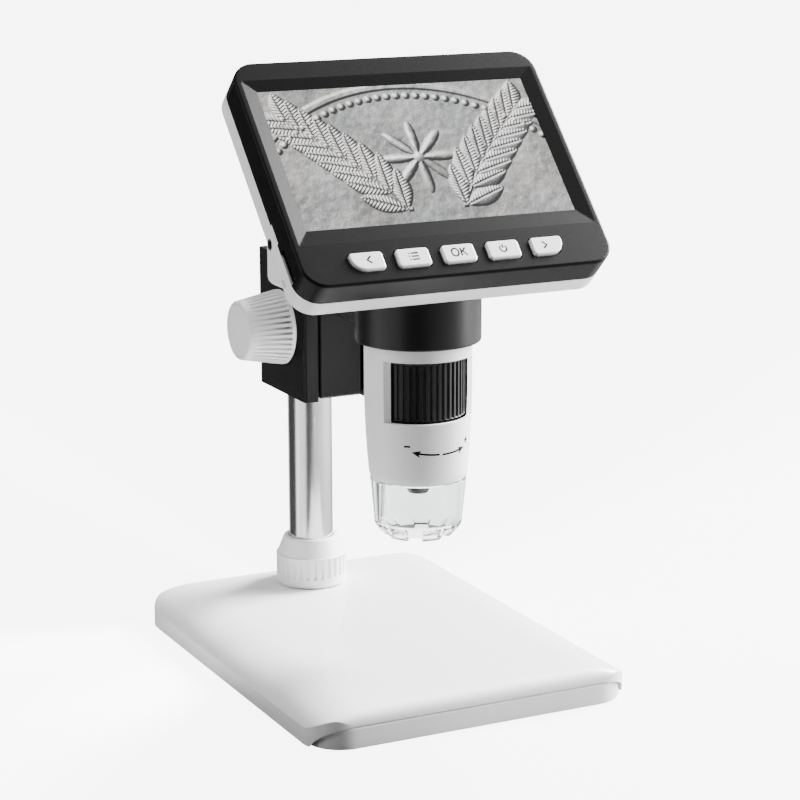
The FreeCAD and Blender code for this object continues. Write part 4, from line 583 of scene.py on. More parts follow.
def lathe(name: str, profile: Array, place: Place, finish: Finish, columns: int = 128, closed: bool = True,
          shape: Shape | None = None, crease: float = CREASE) -> Thing:
    """Turn a profile about the seat's out direction.

    A point at radius r, angle a and height h lies at (r cos a, r sin a, h), after `shape` has
    changed r and h where the piece has ribs or notches.

    Args:
        name: the piece's name.
        profile: array of (radius, height), a closed section or one from axis to axis.
        place: the seat, whose out direction is the axis.
        finish: the piece's material.
        columns: points around.
        closed: whether the section's last point joins its first.
        shape: takes radius, height and angle, and returns the new radius and height.
        crease: angle in degrees past which an edge is sharp.

    Returns:
        The new object.
    """
    turn = np.linspace(0, 2 * math.pi, columns, endpoint=False)
    r, a = np.meshgrid(profile[:, 0], turn, indexing="ij")
    h = np.repeat(profile[:, 1:], columns, axis=1)
    if shape is not None:
        r, h = shape(r, h, a)
    points = place(np.stack([r * np.cos(a), r * np.sin(a), h], axis=-1))
    faces = grid_faces(len(profile), columns, closed, True)
    return solid(name, points.reshape(-1, 3), faces, finish, crease)


def drill(place: Place, radius: float, low: float, high: float, finish: Finish, columns: int) -> Thing:
    """Make a round tool for carve between two heights of a seat."""
    profile = np.array([(0, low), (radius, low), (radius, high), (0, high)])
    return lathe("tool", profile, place, finish, columns, closed=False)


def groove_wave(angle: Array, count: int, land: float, steepness: float = 2.2) -> Array:
    """Return 0 on the lands and 1 on the groove bottoms of evenly spaced grooves.

    Args:
        angle: angles round the piece, in radians.
        count: the number of grooves.
        land: the level of the cosine wave that the flanks are centred on; higher is a wider land.
        steepness: how steep the flanks are.

    Returns:
        The clipped wave at each angle.
    """
    return np.clip(0.5 + (np.cos(count * angle) - land) * steepness, 0, 1)


def ribbon(name: str, path: Array, width: float, place: Place, low: float, high: float, finish: Finish,
           loop: bool = False) -> Thing:
    """Print a line of even width: its path is offset by half the width along its normal on each side.

    Args:
        name: the piece's name.
        path: array of (points, 2) on the printed surface, in millimetres.
        width: the line's width.
        place: puts (x, y, height) on the surface.
        low: height of the print's underside.
        high: height of its top.
        finish: the ink.
        loop: whether the line is closed.

    Returns:
        The new object.
    """
    if loop:
        ahead, back = np.roll(path, -1, 0), np.roll(path, 1, 0)
    else:
        ahead, back = np.vstack([path[1:], path[-1:]]), np.vstack([path[:1], path[:-1]])
    first, last = path - back, ahead - path
    first = first / np.maximum(np.linalg.norm(first, axis=1, keepdims=True), 1e-9)
    last = last / np.maximum(np.linalg.norm(last, axis=1, keepdims=True), 1e-9)
    way = first + last
    way = way / np.linalg.norm(way, axis=1, keepdims=True)
    normal = np.stack([-way[:, 1], way[:, 0]], axis=1)
    leg = np.where(np.abs(first).sum(1, keepdims=True) > 0.1, first, last)
    bend = np.maximum(np.abs((way * leg).sum(1)), 0.4)
    side = normal * (width / 2 / bend)[:, None]
    rows = [lifted(path + s * side, h) for s, h in ((1, low), (-1, low), (-1, high), (1, high))]
    return sheet_solid(name, place(np.stack(rows, axis=1)), finish, loop)


def plate(name: str, outline: Array, place: Place, low: float, high: float, finish: Finish) -> Thing:
    """Make a flat plate from an outline, between two heights."""
    return sheet_solid(name, place(levels([(outline, low), (outline, high)])), finish)


def merge(name: str, things: Sequence[Thing]) -> Thing:
    """Join pieces of one finish into one object.

    Args:
        name: the new piece's name.
        things: the pieces, one or more.

    Returns:
        The first piece, with the others in it.
    """
    keep = things[0]
    if len(things) > 1:
        with bpy.context.temp_override(active_object=keep, selected_editable_objects=list(things)):
            bpy.ops.object.join()
    keep.name = keep.data.name = name
    return keep


def carve(thing: Thing, tools: Sequence[Thing], operation: str = "DIFFERENCE") -> None:
    """Cut tools out of a piece, or join them to it, and remove the tools.

    Args:
        thing: the piece, whose mesh is replaced.
        tools: the pieces that cut or join it.
        operation: the boolean modifier's operation.
    """
    thing.modifiers.clear()
    for tool in tools:
        step = thing.modifiers.new("carve", "BOOLEAN")
        step.operation, step.object, step.solver = operation, tool, "EXACT"
    depsgraph = bpy.context.evaluated_depsgraph_get()
    mesh = bpy.data.meshes.new_from_object(thing.evaluated_get(depsgraph))
    thing.modifiers.clear()
    old, thing.data = thing.data, mesh
    mesh.name = thing.name
    for data in [old] + [tool.data for tool in tools]:
        bpy.data.meshes.remove(data)
    while len(mesh.materials) > 1:
        mesh.materials.pop(index=len(mesh.materials) - 1)
    mesh.polygons.foreach_set("material_index", np.zeros(len(mesh.polygons), np.int32))
    tidy(thing, CREASE)


def settle(thing: Thing, body: str, slot: str, *nodes: str) -> None:
    """Let a piece ride on its body and stand for CAD nodes.

    Args:
        thing: the piece.
        body: the body it moves with.
        slot: not used.
        nodes: the CAD nodes it replaces.
    """
    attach(thing, body)
    if nodes:
        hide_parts(*nodes)
    log.info("%s rides on %s", thing.name, body)


def dress(finish: Finish, *nodes: str) -> None:
    """Give CAD nodes a finish in each of their material slots."""
    for node in nodes:
        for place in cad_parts[node].material_slots:
            place.material = finish


@dataclass
class Base:
    """The moulded base: a cover with a softly rounded top over a pan that shows as its front strip."""

    finishes: Finishes
    half_width: float = 57.6
    half_depth: float = 75.3
    height: float = 13.0
    corner: float = 12.0
    lift: float = 0.7
    shoulder_x: float = 37.5
    shoulder_run: float = 21.0
    shoulder_rise: float = 9.0
    edge: float = 4.5
    arch_x: float = 44.4
    arch_run: float = 12.0
    arch_rise: float = 7.0
    seam: float = 0.2
    lining: float = 9.0
    lining_top: float = 9.8
    pan_top: float = 7.0
    rim: float = 4.8

    def top(self, x: Array, y: Array) -> Array:
        """Height of the cover's top.

        Its sides drop along an ellipse and its front and back edges along a circle. The two drops
        add as a root of squares, which rounds the mitre between them.

        Args:
            x: places across.
            y: places along.

        Returns:
            The height at each place.
        """
        side = self.shoulder_rise * (1 - np.sqrt(1 - rise(np.abs(x), self.shoulder_x,
                                                          self.shoulder_run) ** 2))
        end = self.edge * (1 - np.sqrt(1 - rise(np.abs(y), self.half_depth - self.edge, self.edge) ** 2))
        return self.height - np.sqrt(side ** 2 + end ** 2)

    def arch(self, x: Array, grow: float) -> Array:
        """Height of the line between cover and pan: flat, then an ellipse down to the foot at each side."""
        run = rise(np.abs(x), self.arch_x, self.arch_run + grow)
        return self.lift + (self.arch_rise + grow) * np.sqrt(1 - run ** 2)

    def outline(self, inset: float, half_width: float) -> Array:
        """Plan outline moved in by an inset."""
        x, y = half_width - inset, self.half_depth - inset
        return rectangle((-x, x, -y, y), max(self.corner - inset * 0.8, 0.4), 14, 40)

    def cover(self) -> Thing:
        """Make the cover.

        Rings of the plan outline rise inside to the lining's top and down to the arch. They then step
        inwards over the top, close together at the rim and wider towards the middle.

        Returns:
            The cover's object.
        """
        rings = [lifted(self.outline(self.lining, self.half_width), self.lining_top)]
        for inset, up in ((2.4, 0.0), (0.3, 0.0), (0.0, 0.3)):
            ring = self.outline(inset, self.half_width)
            rings.append(lifted(ring, self.arch(ring[:, 0], self.seam) + up))
        insets = [0.0] + [inset for inset, _ in round_over(self.rim, 12, 0.12)]
        insets += (self.rim + 50.0 * np.linspace(0.04, 1, 26) ** 1.15).tolist()
        for inset in insets:
            ring = self.outline(inset, self.half_width)
            rings.append(lifted(ring, self.top(ring[:, 0], ring[:, 1])))
        return sheet_solid("base_cover", np.stack(rings), self.finishes.white, crease=38)

    def pan(self) -> Thing:
        """Make the pan: its outline at the foot, with walls up to the arch line.

        Returns:
            The pan's object.
        """
        width = self.arch_x + self.arch_run - 0.25
        rings = [lifted(self.outline(inset, width), self.lift + up)
                 for inset, up in ((1.2, 0.0), (0.4, 0.0), (0.0, 0.4))]
        for inset, down in ((0.0, 0.4), (0.4, 0.0), (3.0, 0.0)):
            ring = self.outline(inset, width)
            high = np.maximum(self.arch(ring[:, 0], 0.0) - 0.05, self.lift + 0.9)
            rings.append(lifted(ring, high - down))
        rings.append(lifted(self.outline(self.lining, width), self.pan_top))
        return sheet_solid("base_pan", np.stack(rings), self.finishes.white)

    def build(self) -> None:
        """Make and settle the base's pieces."""
        settle(self.cover(), "base", "white_shell", "base_shell")
        settle(self.pan(), "base", "white_shell", "base_tray")
        dress(self.finishes.rubber, "rubber_feet")
        dress(self.finishes.steel, "base_screws", "base_weight", "column_bolt", "column_plug")
        dress(self.finishes.white, "column_socket")


@dataclass
class Column:
    """The plated tube with its end cap and the ribbed nut at its foot."""

    finishes: Finishes
    y: float = 55.75
    radius: float = 7.9
    bore: float = 6.4
    foot: float = 13.0
    length: float = 159.0
    plug_depth: float = 8.0
    plug_gap: float = 0.05
    plug_lip: float = 1.6
    nut_radius: float = 12.7
    nut_height: float = 17.6
    nut_neck: float = 10.2
    nut_room: Span = (10.4, 13.0)
    grip_steps: tuple[float, ...] = (3.5, 3.65, 3.8, 4.0, 7.4, 10.5, 10.7, 10.85, 11.0)
    groove_count: int = 30
    groove_depth: float = 0.7
    groove_span: Span = (3.6, 11.0)

    def nut_shape(self, r: Array, h: Array, a: Array) -> tuple[Array, Array]:
        """Sink evenly spaced grooves into the nut's upright part, with soft ends."""
        low, high = self.groove_span
        inside = rise(h, low, 0.35) * rise(h, high, -0.3) * (r > 12.0)
        return r - self.groove_depth * groove_wave(a, self.groove_count, 0.45) * inside, h

    def tube(self, seat: Seat) -> Thing:
        """Make the tube: a closed section of its wall, turned."""
        section = rounded([(self.bore, 0, 0), (self.radius, 0, 0.4), (self.radius, self.length, 0.4),
                           (self.bore, self.length, 0)])
        return lathe("column_tube", section, seat, self.finishes.chrome, 160)

    def plug(self, seat: Seat) -> Thing:
        """Make the end cap: a plug in the bore with a lip over the tube's end.

        Args:
            seat: its seat, with out along its axis.

        Returns:
            The plug's object.
        """
        stem, lip = self.bore - self.plug_gap, self.plug_lip
        profile = rounded([(0, -self.plug_depth, 0), (stem, -self.plug_depth, 0.4), (stem, 0, 0),
                           (self.radius, 0, 0.2), (self.radius, lip, 0.7), (0, lip, 0)], closed=False)
        return lathe("column_plug_top", profile, seat, self.finishes.black, 128, closed=False)

    def nut(self, seat: Seat) -> Thing:
        """Make the nut: a grooved grip under a cone that ends in a rounded lip, with a room inside.

        Args:
            seat: its seat, with out along its axis.

        Returns:
            The nut's object.
        """
        grip, neck, high = self.nut_radius, self.nut_neck, self.nut_height
        room, roof = self.nut_room
        outer = np.array([(room, 0.3), (grip - 0.4, 0.3), (grip, 0.7),
                          *((grip, h) for h in self.grip_steps),
                          (grip - 0.05, 11.15), (grip - 0.4, 11.35), (grip - 0.55, 11.6),
                          (neck, high - 1.0)])
        lip = rounded([(neck, high - 1.0, 0), (neck - 0.5, high, 0.6), (8.2, high, 0.2), (8.2, roof, 0),
                       (room, roof, 0)], closed=False)
        return lathe("column_collar", np.vstack([outer, lip[1:]]), seat, self.finishes.knob_white, 480,
                     shape=self.nut_shape)

    def build(self) -> None:
        """Make and settle the column's pieces."""
        seat = Seat((0.0, self.y, self.foot))
        settle(self.tube(seat), "base", "chrome", "column")
        settle(self.plug(seat.moved(0.0, 0.0, self.length)), "base", "black_shell", "column_cap")
        settle(self.nut(seat), "nut", "white_shell", "column_nut")


@dataclass
class Bracket:
    """The rack bracket: block, sliding plate, rack and pinion."""

    finishes: Finishes

    def build(self) -> None:
        """Dress the bracket's CAD nodes."""
        dress(self.finishes.black_metal, "bracket_block", "slide_plate")
        dress(self.finishes.steel, "rack", "holder_screws", "pinion_shaft")
        dress(self.finishes.dark_steel, "bracket_grub_screws")
        dress(self.finishes.brass, "shaft_bushes")
        dress(self.finishes.nylon, "friction_washers")


@dataclass
class Knobs:
    """The two tapered focus knobs with their fine ribs."""

    finishes: Finishes
    y: float = 42.5
    z: float = 111.2
    inner: float = 16.3
    length: float = 16.6
    radius: float = 13.05
    end_radius: float = 10.2
    flange: float = 1.5
    recess: float = 0.7
    disc: float = 9.0
    disc_gap: float = 0.25
    hub: Span = (2.6, 4.0)
    groove_bottom: float = 10.5
    rib_count: int = 40

    def ribs(self, r: Array, h: Array, a: Array) -> tuple[Array, Array]:
        """Cut straight grooves whose bottoms lie on a cylinder, so that they fade towards the small end."""
        inside = rise(h, self.flange, 0.3) * (r > self.groove_bottom) * (h < self.length - 0.2)
        return r - (r - self.groove_bottom) * groove_wave(a, self.rib_count, 0.35) * inside, h

    def grip(self, name: str, seat: Seat) -> Thing:
        """Make one knob: a taper between a flange and a rounded end with a recess for its disc.

        Args:
            name: the knob's side, in its name.
            seat: its seat, with out along the shaft.

        Returns:
            The knob's object.
        """
        h = np.concatenate([[self.flange, self.flange + 0.08, self.flange + 0.3],
                            np.linspace(self.flange + 0.8, self.length - 1.0, 10)])
        r = self.radius + (self.end_radius - self.radius) * (h - self.flange) / (self.length - self.flange)
        lip, floor = self.disc + self.disc_gap, self.length - self.recess
        edge = rounded([(r[-1], h[-1], 0), (self.end_radius, self.length, 0.9), (lip, self.length, 0.2),
                        (lip, floor, 0), (0, floor, 0)], closed=False)
        hub, deep = self.hub
        start = np.array([(0, deep), (hub, deep), (hub, 0), (self.radius - 0.4, 0), (self.radius, 0.4)])
        profile = np.vstack([start, np.stack([r, h], 1), edge[1:]])
        return lathe(f"knob_grip_{name}", profile, seat, self.finishes.knob_white, 640, closed=False,
                     shape=self.ribs)

    def face(self, name: str, seat: Seat) -> Thing:
        """Make one knob's end disc, which lies in the recess and stands out by a hair.

        Args:
            name: the knob's side, in the disc's name.
            seat: its seat, with out along its axis.

        Returns:
            The disc's object.
        """
        low, high = self.length - self.recess + 0.02, self.length + 0.02
        section = rounded([(0, low, 0), (self.disc, low, 0), (self.disc, high, 0.3), (0, high, 0)],
                          closed=False)
        return lathe(f"knob_face_{name}", section, seat, self.finishes.knob_white, 96, closed=False)

    def build(self) -> None:
        """Make and settle both knobs and their end discs."""
        for side in Side:
            s, name = side.value, side.name.lower()
            seat = Seat((s * self.inner, self.y, self.z), (0, 0, s), (0, 1, 0), (s, 0, 0))
            settle(self.grip(name, seat), "knobs", "white_shell", f"knob_{name}")
            settle(self.face(name, seat), "knobs", "white_shell", f"knob_disc_{name}")


@dataclass
class Barrel:
    """The optical barrel with its window, ribbed focus ring, printed arrow, lens nose and clear cap.

    Sections are given as (radius, height, corner radius), and prints as (arc length, height).
    """

    finishes: Finishes
    radius: float = 17.66
    low: float = 73.3
    top: float = 136.75
    taper: float = 31.5
    curve: float = 300.0
    wall: float = 1.6
    foot_round: float = 0.5
    window_low: float = 94.1
    window_top: float = 114.3
    window_half: float = 66.0
    window_slant: float = 6.0
    ring_low: float = 118.7
    ring_top: float = 135.1
    ring_radius: float = 20.6
    arm_half: float = 7.5
    arm_height: float = 15.4
    arm_start: float = 18.7
    arm_end: float = 28.9
    grip_bore: float = 12.0
    grip_lip: float = 15.0
    grip_radius: float = 15.45
    grip_ends: Span = (94.4, 114.0)
    grip_steps: tuple[float, ...] = (94.8, 94.95, 95.1, 95.4, 104.0, 113.0, 113.3, 113.45, 113.6)
    rib_span: Span = (94.9, 113.5)
    rib_count: int = 46
    rib_depth: float = 0.6
    print_thick: float = 0.03
    arrow_width: float = 0.62
    sign_width: float = 0.65
    arrow_lines: tuple[tuple[Span, Span], ...] = (((-0.8, 84.05), (-10.5, 85.1)),
                                                  ((0.3, 83.95), (10.1, 85.0)))
    sign_lines: tuple[tuple[Span, Span, float], ...] = (
        ((-13.0, 86.95), (-10.9, 86.95), 1.0), ((10.3, 87.1), (12.4, 87.1), 1.0),
        ((11.35, 86.05), (11.35, 88.15), 1.1))
    nose_section: tuple[Spot, ...] = (
        (2.3, 69.2, 0.2), (2.5, 68.4, 0.1), (3.0, 68.2, 0.3), (4.45, 70.6, 0.8), (4.45, 78.0, 0.3),
        (4.0, 84.8, 0),
        (10.4, 84.8, 0.4), (10.4, 108.8, 0.3), (9.1, 108.8, 0.2), (9.1, 86.2, 0), (3.25, 86.2, 0),
        (3.25, 69.3, 0))
    cap_section: tuple[Spot, ...] = (
        (9.2, 53.4, 0.3), (10.9, 53.4, 0.5), (12.9, 55.4, 0), (14.35, 57.4, 1.2), (15.85, 73.1, 0.3),
        (14.15, 73.1, 0), (14.15, 74.5, 0.3), (13.0, 74.5, 0.2), (12.9, 73.1, 0), (12.75, 58.6, 1.0),
        (12.0, 57.2, 0), (9.2, 55.0, 0.3))
    notch_pitch: float = 60.0
    notch_start: float = 123.0
    notch_half: float = 13.6
    notch_height: float = 1.3

    def radius_at(self, z: Array) -> Array:
        """Radius of the barrel at a height: upright, then an arc that pulls in over the lower taper."""
        drop = np.clip(self.low + self.taper - z, 0, None)
        return self.radius - self.curve + np.sqrt(self.curve ** 2 - drop ** 2)

    def around(self, r: Array, a: Array, h: Array) -> Array:
        """Points at a radius, an angle from the front and a height."""
        return np.stack(np.broadcast_arrays(r * np.sin(a), AXIS_Y - r * np.cos(a), h), axis=-1)

    def on_wall(self, points: Array) -> Array:
        """Wrap (arc length, height, out) around the barrel's front, arc length 0 at the front."""
        r = self.radius_at(points[..., 1]) + points[..., 2]
        return self.around(r, points[..., 0] / self.radius, points[..., 1])

    def shell(self) -> Thing:
        """Make the barrel from two grids of angle and height, one inside the other.

        Both leave out the window's cells, and walls join their open borders. The inner grid's
        columns beside the window turn towards the front, which slants its upright walls.

        Returns:
            The barrel's object.
        """
        side, low, top = self.window_half, self.window_low, self.window_top
        angles = np.concatenate([np.linspace(-180, -side, 60, endpoint=False),
                                 np.linspace(-side, side, 72, endpoint=False),
                                 np.linspace(side, 180, 60, endpoint=False)])
        z = np.concatenate([np.linspace(self.low, low, 14, endpoint=False),
                            np.linspace(low, top, 12, endpoint=False), np.linspace(top, self.top, 10)])
        a, h = np.radians(angles)[None, :], z[:, None]
        foot = 1 - rise(h, self.low, self.foot_round)
        r = self.radius_at(h) - self.foot_round * (1 - np.sqrt(1 - foot ** 2))
        beside = (np.abs(np.abs(angles) - side) < 0.01)[None, :] & (h > low - 0.01) & (h < top + 0.01)
        turn = a - np.radians(self.window_slant) * np.sign(a) * beside
        outer = self.around(r, a, h).reshape(-1, 3)
        inner = self.around(r - self.wall, turn, h).reshape(-1, 3)
        faces = grid_faces(len(z), len(angles), False, True)
        middle = outer[faces].mean(axis=1)
        facing = np.degrees(np.abs(np.arctan2(middle[:, 0], AXIS_Y - middle[:, 1])))
        faces = faces[~((facing < side) & (middle[:, 2] > low) & (middle[:, 2] < top))]
        edges = np.concatenate([faces[:, [i, (i + 1) % 4]] for i in range(4)])
        _, first, times = np.unique(np.sort(edges, axis=1), axis=0, return_index=True, return_counts=True)
        rim, count = edges[first[times == 1]], len(outer)
        walls = np.stack([rim[:, 0], rim[:, 1], rim[:, 1] + count, rim[:, 0] + count], 1)
        faces = np.vstack([faces, faces[:, ::-1] + count, walls])
        return solid("barrel_body", np.vstack([outer, inner]), faces, self.finishes.white, 30)

    def ring(self) -> Thing:
        """Make the holder ring: a rounded section turned about the axis, joined to a rounded bar.

        Returns:
            The ring's object.
        """
        inner, outer, low, top = self.radius + 0.1, self.ring_radius, self.ring_low, self.ring_top
        section = rounded([(inner, low, 0.2), (outer, low, 0.8), (outer, top, 0.8), (inner, top, 0.2)])
        ring = lathe("barrel_ring", section, UPRIGHT, self.finishes.anodised, 192)
        bar = Seat((0.0, 0.0, 0.0), (1, 0, 0), (0, 0, 1), (0, 1, 0))
        outline = rectangle((-self.arm_half, self.arm_half, low, low + self.arm_height), 0.6, 5)
        arm = plate("arm", outline, bar, AXIS_Y + self.arm_start, self.arm_end, self.finishes.anodised)
        carve(ring, [arm], "UNION")
        return ring

    def ribs(self, r: Array, h: Array, a: Array) -> tuple[Array, Array]:
        """Cut the focus ring's grooves into its outside, with soft ends."""
        inside = rise(h, self.rib_span[0], 0.3) * rise(h, self.rib_span[1], -0.3) * (r > self.grip_lip)
        return r - self.rib_depth * groove_wave(a, self.rib_count, 0.1) * inside, h

    def grip(self) -> Thing:
        """Make the ribbed focus ring that shows in the window.

        Returns:
            The focus ring's object.
        """
        low, high = self.grip_ends
        profile = np.array([(self.grip_bore, low), (self.grip_lip, low),
                            *((self.grip_radius, h) for h in self.grip_steps),
                            (self.grip_lip, high), (self.grip_bore, high)])
        return lathe("focus_grip", profile, UPRIGHT, self.finishes.rubber, 552, shape=self.ribs)

    def arrows(self) -> Thing:
        """Print the minus, the two-way arrow and the plus on the wall under the window.

        An arrow's line bends up as a parabola, and its head points along the parabola's end.

        Returns:
            The print's object.
        """
        ink, thick = self.finishes.ink, self.print_thick
        bits = []
        t = np.linspace(0, 1, 14)
        for start, tip in self.arrow_lines:
            run, lift = tip[0] - start[0], tip[1] - start[1]
            path = np.stack([start[0] + run * 0.86 * t, start[1] + lift * 0.74 * t ** 2], 1)
            bits.append(ribbon("bit", path, self.arrow_width, self.on_wall, 0.0, thick, ink))
            ahead = np.array([run, 2 * lift]) / np.hypot(run, 2 * lift)
            aside = np.array([-ahead[1], ahead[0]])
            head = np.array(tip) + np.array([0 * ahead, 1.15 * aside - 3.0 * ahead, -2.4 * ahead,
                                             -1.15 * aside - 3.0 * ahead])
            bits.append(plate("bit", head, self.on_wall, 0.0, thick * 4, ink))
        for start, end, share in self.sign_lines:
            line = np.array((start, end))
            bits.append(ribbon("bit", line, self.sign_width, self.on_wall, 0.0, thick * share, ink))
        return merge("barrel_print", bits)

    def nose(self) -> Thing:
        """Make the lens carriage: a narrow black nose that steps out to the wide tube in the barrel."""
        return lathe("lens_nose", rounded(self.nose_section, 5), UPRIGHT, self.finishes.anodised, 96)

    def notches(self, r: Array, h: Array, a: Array) -> tuple[Array, Array]:
        """Lift the clear cap's lower rim in even notches with slanting ends.

        Args:
            r: radii.
            h: heights.
            a: angles in radians.

        Returns:
            The radii and the new heights.
        """
        half = self.notch_pitch / 2
        off = np.abs((np.degrees(a) + self.notch_start + half) % self.notch_pitch - half)
        near = rise(h, 55.4, -0.9) * (r < 14.2)
        return r, h + self.notch_height * rise(off, self.notch_half, -1.2) * near

    def cap(self) -> Thing:
        """Make the clear cap: a thin closed section whose lower rim rises in six notches."""
        return lathe("clear_cap", rounded(self.cap_section, 5), UPRIGHT, self.finishes.clear, 360,
                     shape=self.notches, crease=40)

    def build(self) -> None:
        """Make and settle the barrel's pieces."""
        settle(self.shell(), "head", "white_shell", "barrel_shell")
        settle(self.ring(), "carriage", "anodised", "holder_ring")
        settle(self.grip(), "focus", "rubber", "focus_ring")
        settle(self.arrows(), "head", "black_shell")
        settle(self.nose(), "lens", "anodised", "lens_carriage")
        settle(self.cap(), "cap", "clear", "lens_cap")
        dress(self.finishes.lens, "objective_lenses")
        dress(self.finishes.chip, "guide_tube", "image_sensor")
        dress(self.finishes.lamp, "lamps")
        dress(self.finishes.board, "lamp_board", "sensor_board")
        dress(self.finishes.steel, "barrel_screws", "sensor_screws")


@dataclass
class Picture:
    """What the lit screen shows: a magnified, struck metal relief of two sprigs under a beaded arch.

    The relief is a height worked out at each point of a grid, and its colour is light falling on
    that height: slope towards the upper left is bright, and away from it dark.
    """

    half_width: float = 47.52
    half_height: float = 26.93
    columns: int = 404
    rows: int = 230
    seed: int = 7
    sprig_start: Span = (10.5, -21.5)
    sprig_run: float = 30.0
    sprig_rise: float = 36.0
    sprig_bend: float = 0.8
    stem_span: Span = (9.0, 41.0)
    stem_half: float = 0.9
    leaf_pairs: int = 9
    leaf_spread: float = 0.62
    leaf_length: float = 16.0
    leaf_shrink: float = 4.0
    leaf_width: float = 3.4
    arch_y: float = -46.0
    bead_arc: float = 68.5
    bead_pitch: float = 2.9
    bead_radius: float = 1.35
    rim_arc: float = 72.6
    flower_y: float = -2.0
    petal_low: float = 4.0
    petal_reach: float = 10.0
    boss_radius: float = 3.0
    gain: float = 1.9
    light: Spot = (-0.52, 0.58, 0.63)
    glint: Spot = (-0.30, 0.34, 0.89)
    shade: float = 0.22
    lit: float = 0.62
    shine: float = 0.42
    middle: float = 0.56
    contrast: float = 1.5

    def cloud(self, cells: int, power: float) -> Array:
        """Return smooth noise: random values on a coarse grid, blended by smooth steps.

        Args:
            cells: cells of the coarse grid over the picture's height.
            power: the noise's greatest value either way.

        Returns:
            The noise at each point of the picture's grid.
        """
        rng = np.random.default_rng(self.seed + cells)
        across = max(2, int(cells * self.half_width / self.half_height))
        coarse = rng.uniform(-1, 1, (cells + 2, across + 2))
        y = np.linspace(0, cells, self.rows)[:, None]
        x = np.linspace(0, across, self.columns)[None, :]
        i, j = np.floor(y).astype(int), np.floor(x).astype(int)
        fy, fx = y - i, x - j
        fy, fx = fy * fy * (3 - 2 * fy), fx * fx * (3 - 2 * fx)
        low = coarse[i, j] * (1 - fx) + coarse[i, j + 1] * fx
        high = coarse[i + 1, j] * (1 - fx) + coarse[i + 1, j + 1] * fx
        return (low * (1 - fy) + high * fy) * power

    def leaf(self, x: Array, y: Array, spot: Span, turn: float, length: float) -> Array:
        """Height of one leaf: a pointed oval with a sunk midrib and slanting veins.

        Args:
            x: places across the picture.
            y: places up the picture.
            spot: where the leaf starts.
            turn: which way it points, in radians.
            length: its length.

        Returns:
            The height at each place.
        """
        c, s = math.cos(turn), math.sin(turn)
        a = ((x - spot[0]) * c + (y - spot[1]) * s) / length
        b = (-(x - spot[0]) * s + (y - spot[1]) * c) / self.leaf_width
        half = np.sin(math.pi * np.clip(a, 0, 1)) ** 0.8
        inside = np.clip(1 - np.abs(b) / np.maximum(half, 1e-3), 0, 1) * (a > 0) * (a < 1)
        body = np.sqrt(np.clip(inside * (2 - inside), 0, 1))
        rib = np.exp(-(b / 0.1) ** 2)
        veins = 0.13 * np.sin(2 * math.pi * (a * length / 1.15 - np.abs(b) * 1.3))
        return body * (1 - 0.45 * rib + veins)

    def sprig(self, x: Array, y: Array, side: float) -> Array:
        """Height of one sprig: pairs of leaves along a stem that bends outwards.

        Args:
            x: places across the picture.
            y: places up the picture.
            side: -1 for the left sprig, 1 for the right one.

        Returns:
            The height at each place.
        """
        height = np.zeros_like(x)
        x0, y0 = self.sprig_start
        for k in range(self.leaf_pairs):
            t = k / (self.leaf_pairs - 1)
            spot = (side * (x0 + self.sprig_run * t), y0 + self.sprig_rise * t ** self.sprig_bend)
            slope = self.sprig_rise * self.sprig_bend * max(t, 0.1) ** (self.sprig_bend - 1)
            lean = math.atan2(slope, side * self.sprig_run)
            for out in (-self.leaf_spread, self.leaf_spread):
                leaf = self.leaf(x, y, spot, lean + out, self.leaf_length - self.leaf_shrink * t)
                height = np.maximum(height, leaf * (1.0 - 0.02 * k))
        line = y0 + self.sprig_rise * rise(side * x, x0, self.sprig_run) ** self.sprig_bend
        stem = 0.6 * np.clip(1 - np.abs(y - line) / self.stem_half, 0, 1) ** 0.5
        return np.maximum(height, stem * (side * x > self.stem_span[0]) * (side * x < self.stem_span[1]))

    def arch(self, x: Array, y: Array) -> Array:
        """Height of the row of beads and the rim outside it, both on arcs about one centre.

        Args:
            x: places across the picture.
            y: places up the picture.

        Returns:
            The height at each place.
        """
        radius, angle = np.hypot(x, y - self.arch_y), np.degrees(np.arctan2(x, y - self.arch_y))
        half = self.bead_pitch / 2
        off = ((angle + half) % self.bead_pitch - half) * math.pi / 180 * self.bead_arc
        bead = np.hypot(radius - self.bead_arc, off) / self.bead_radius
        rim = 0.7 * np.clip(1.6 - np.abs(radius - self.rim_arc), 0, 0.8)
        return np.maximum(0.95 * np.sqrt(np.clip(1 - bead ** 2, 0, 1)), rim)

    def flower(self, x: Array, y: Array) -> Array:
        """Height of the eight petals and the boss in their middle.

        Args:
            x: places across the picture.
            y: places up the picture.

        Returns:
            The height at each place.
        """
        ray, turn = np.hypot(x, y - self.flower_y), np.arctan2(x, y - self.flower_y)
        petal = 1 - ray / (np.cos(turn * 4) ** 2 * self.petal_reach + self.petal_low)
        petal = np.clip(petal, 0, 1)
        petals = 1.15 * np.sqrt(petal * (2 - petal)) * (1 - 0.25 * np.sin(turn * 4) ** 2)
        return np.maximum(petals, 1.35 * np.sqrt(np.clip(1 - (ray / self.boss_radius) ** 2, 0, 1)))

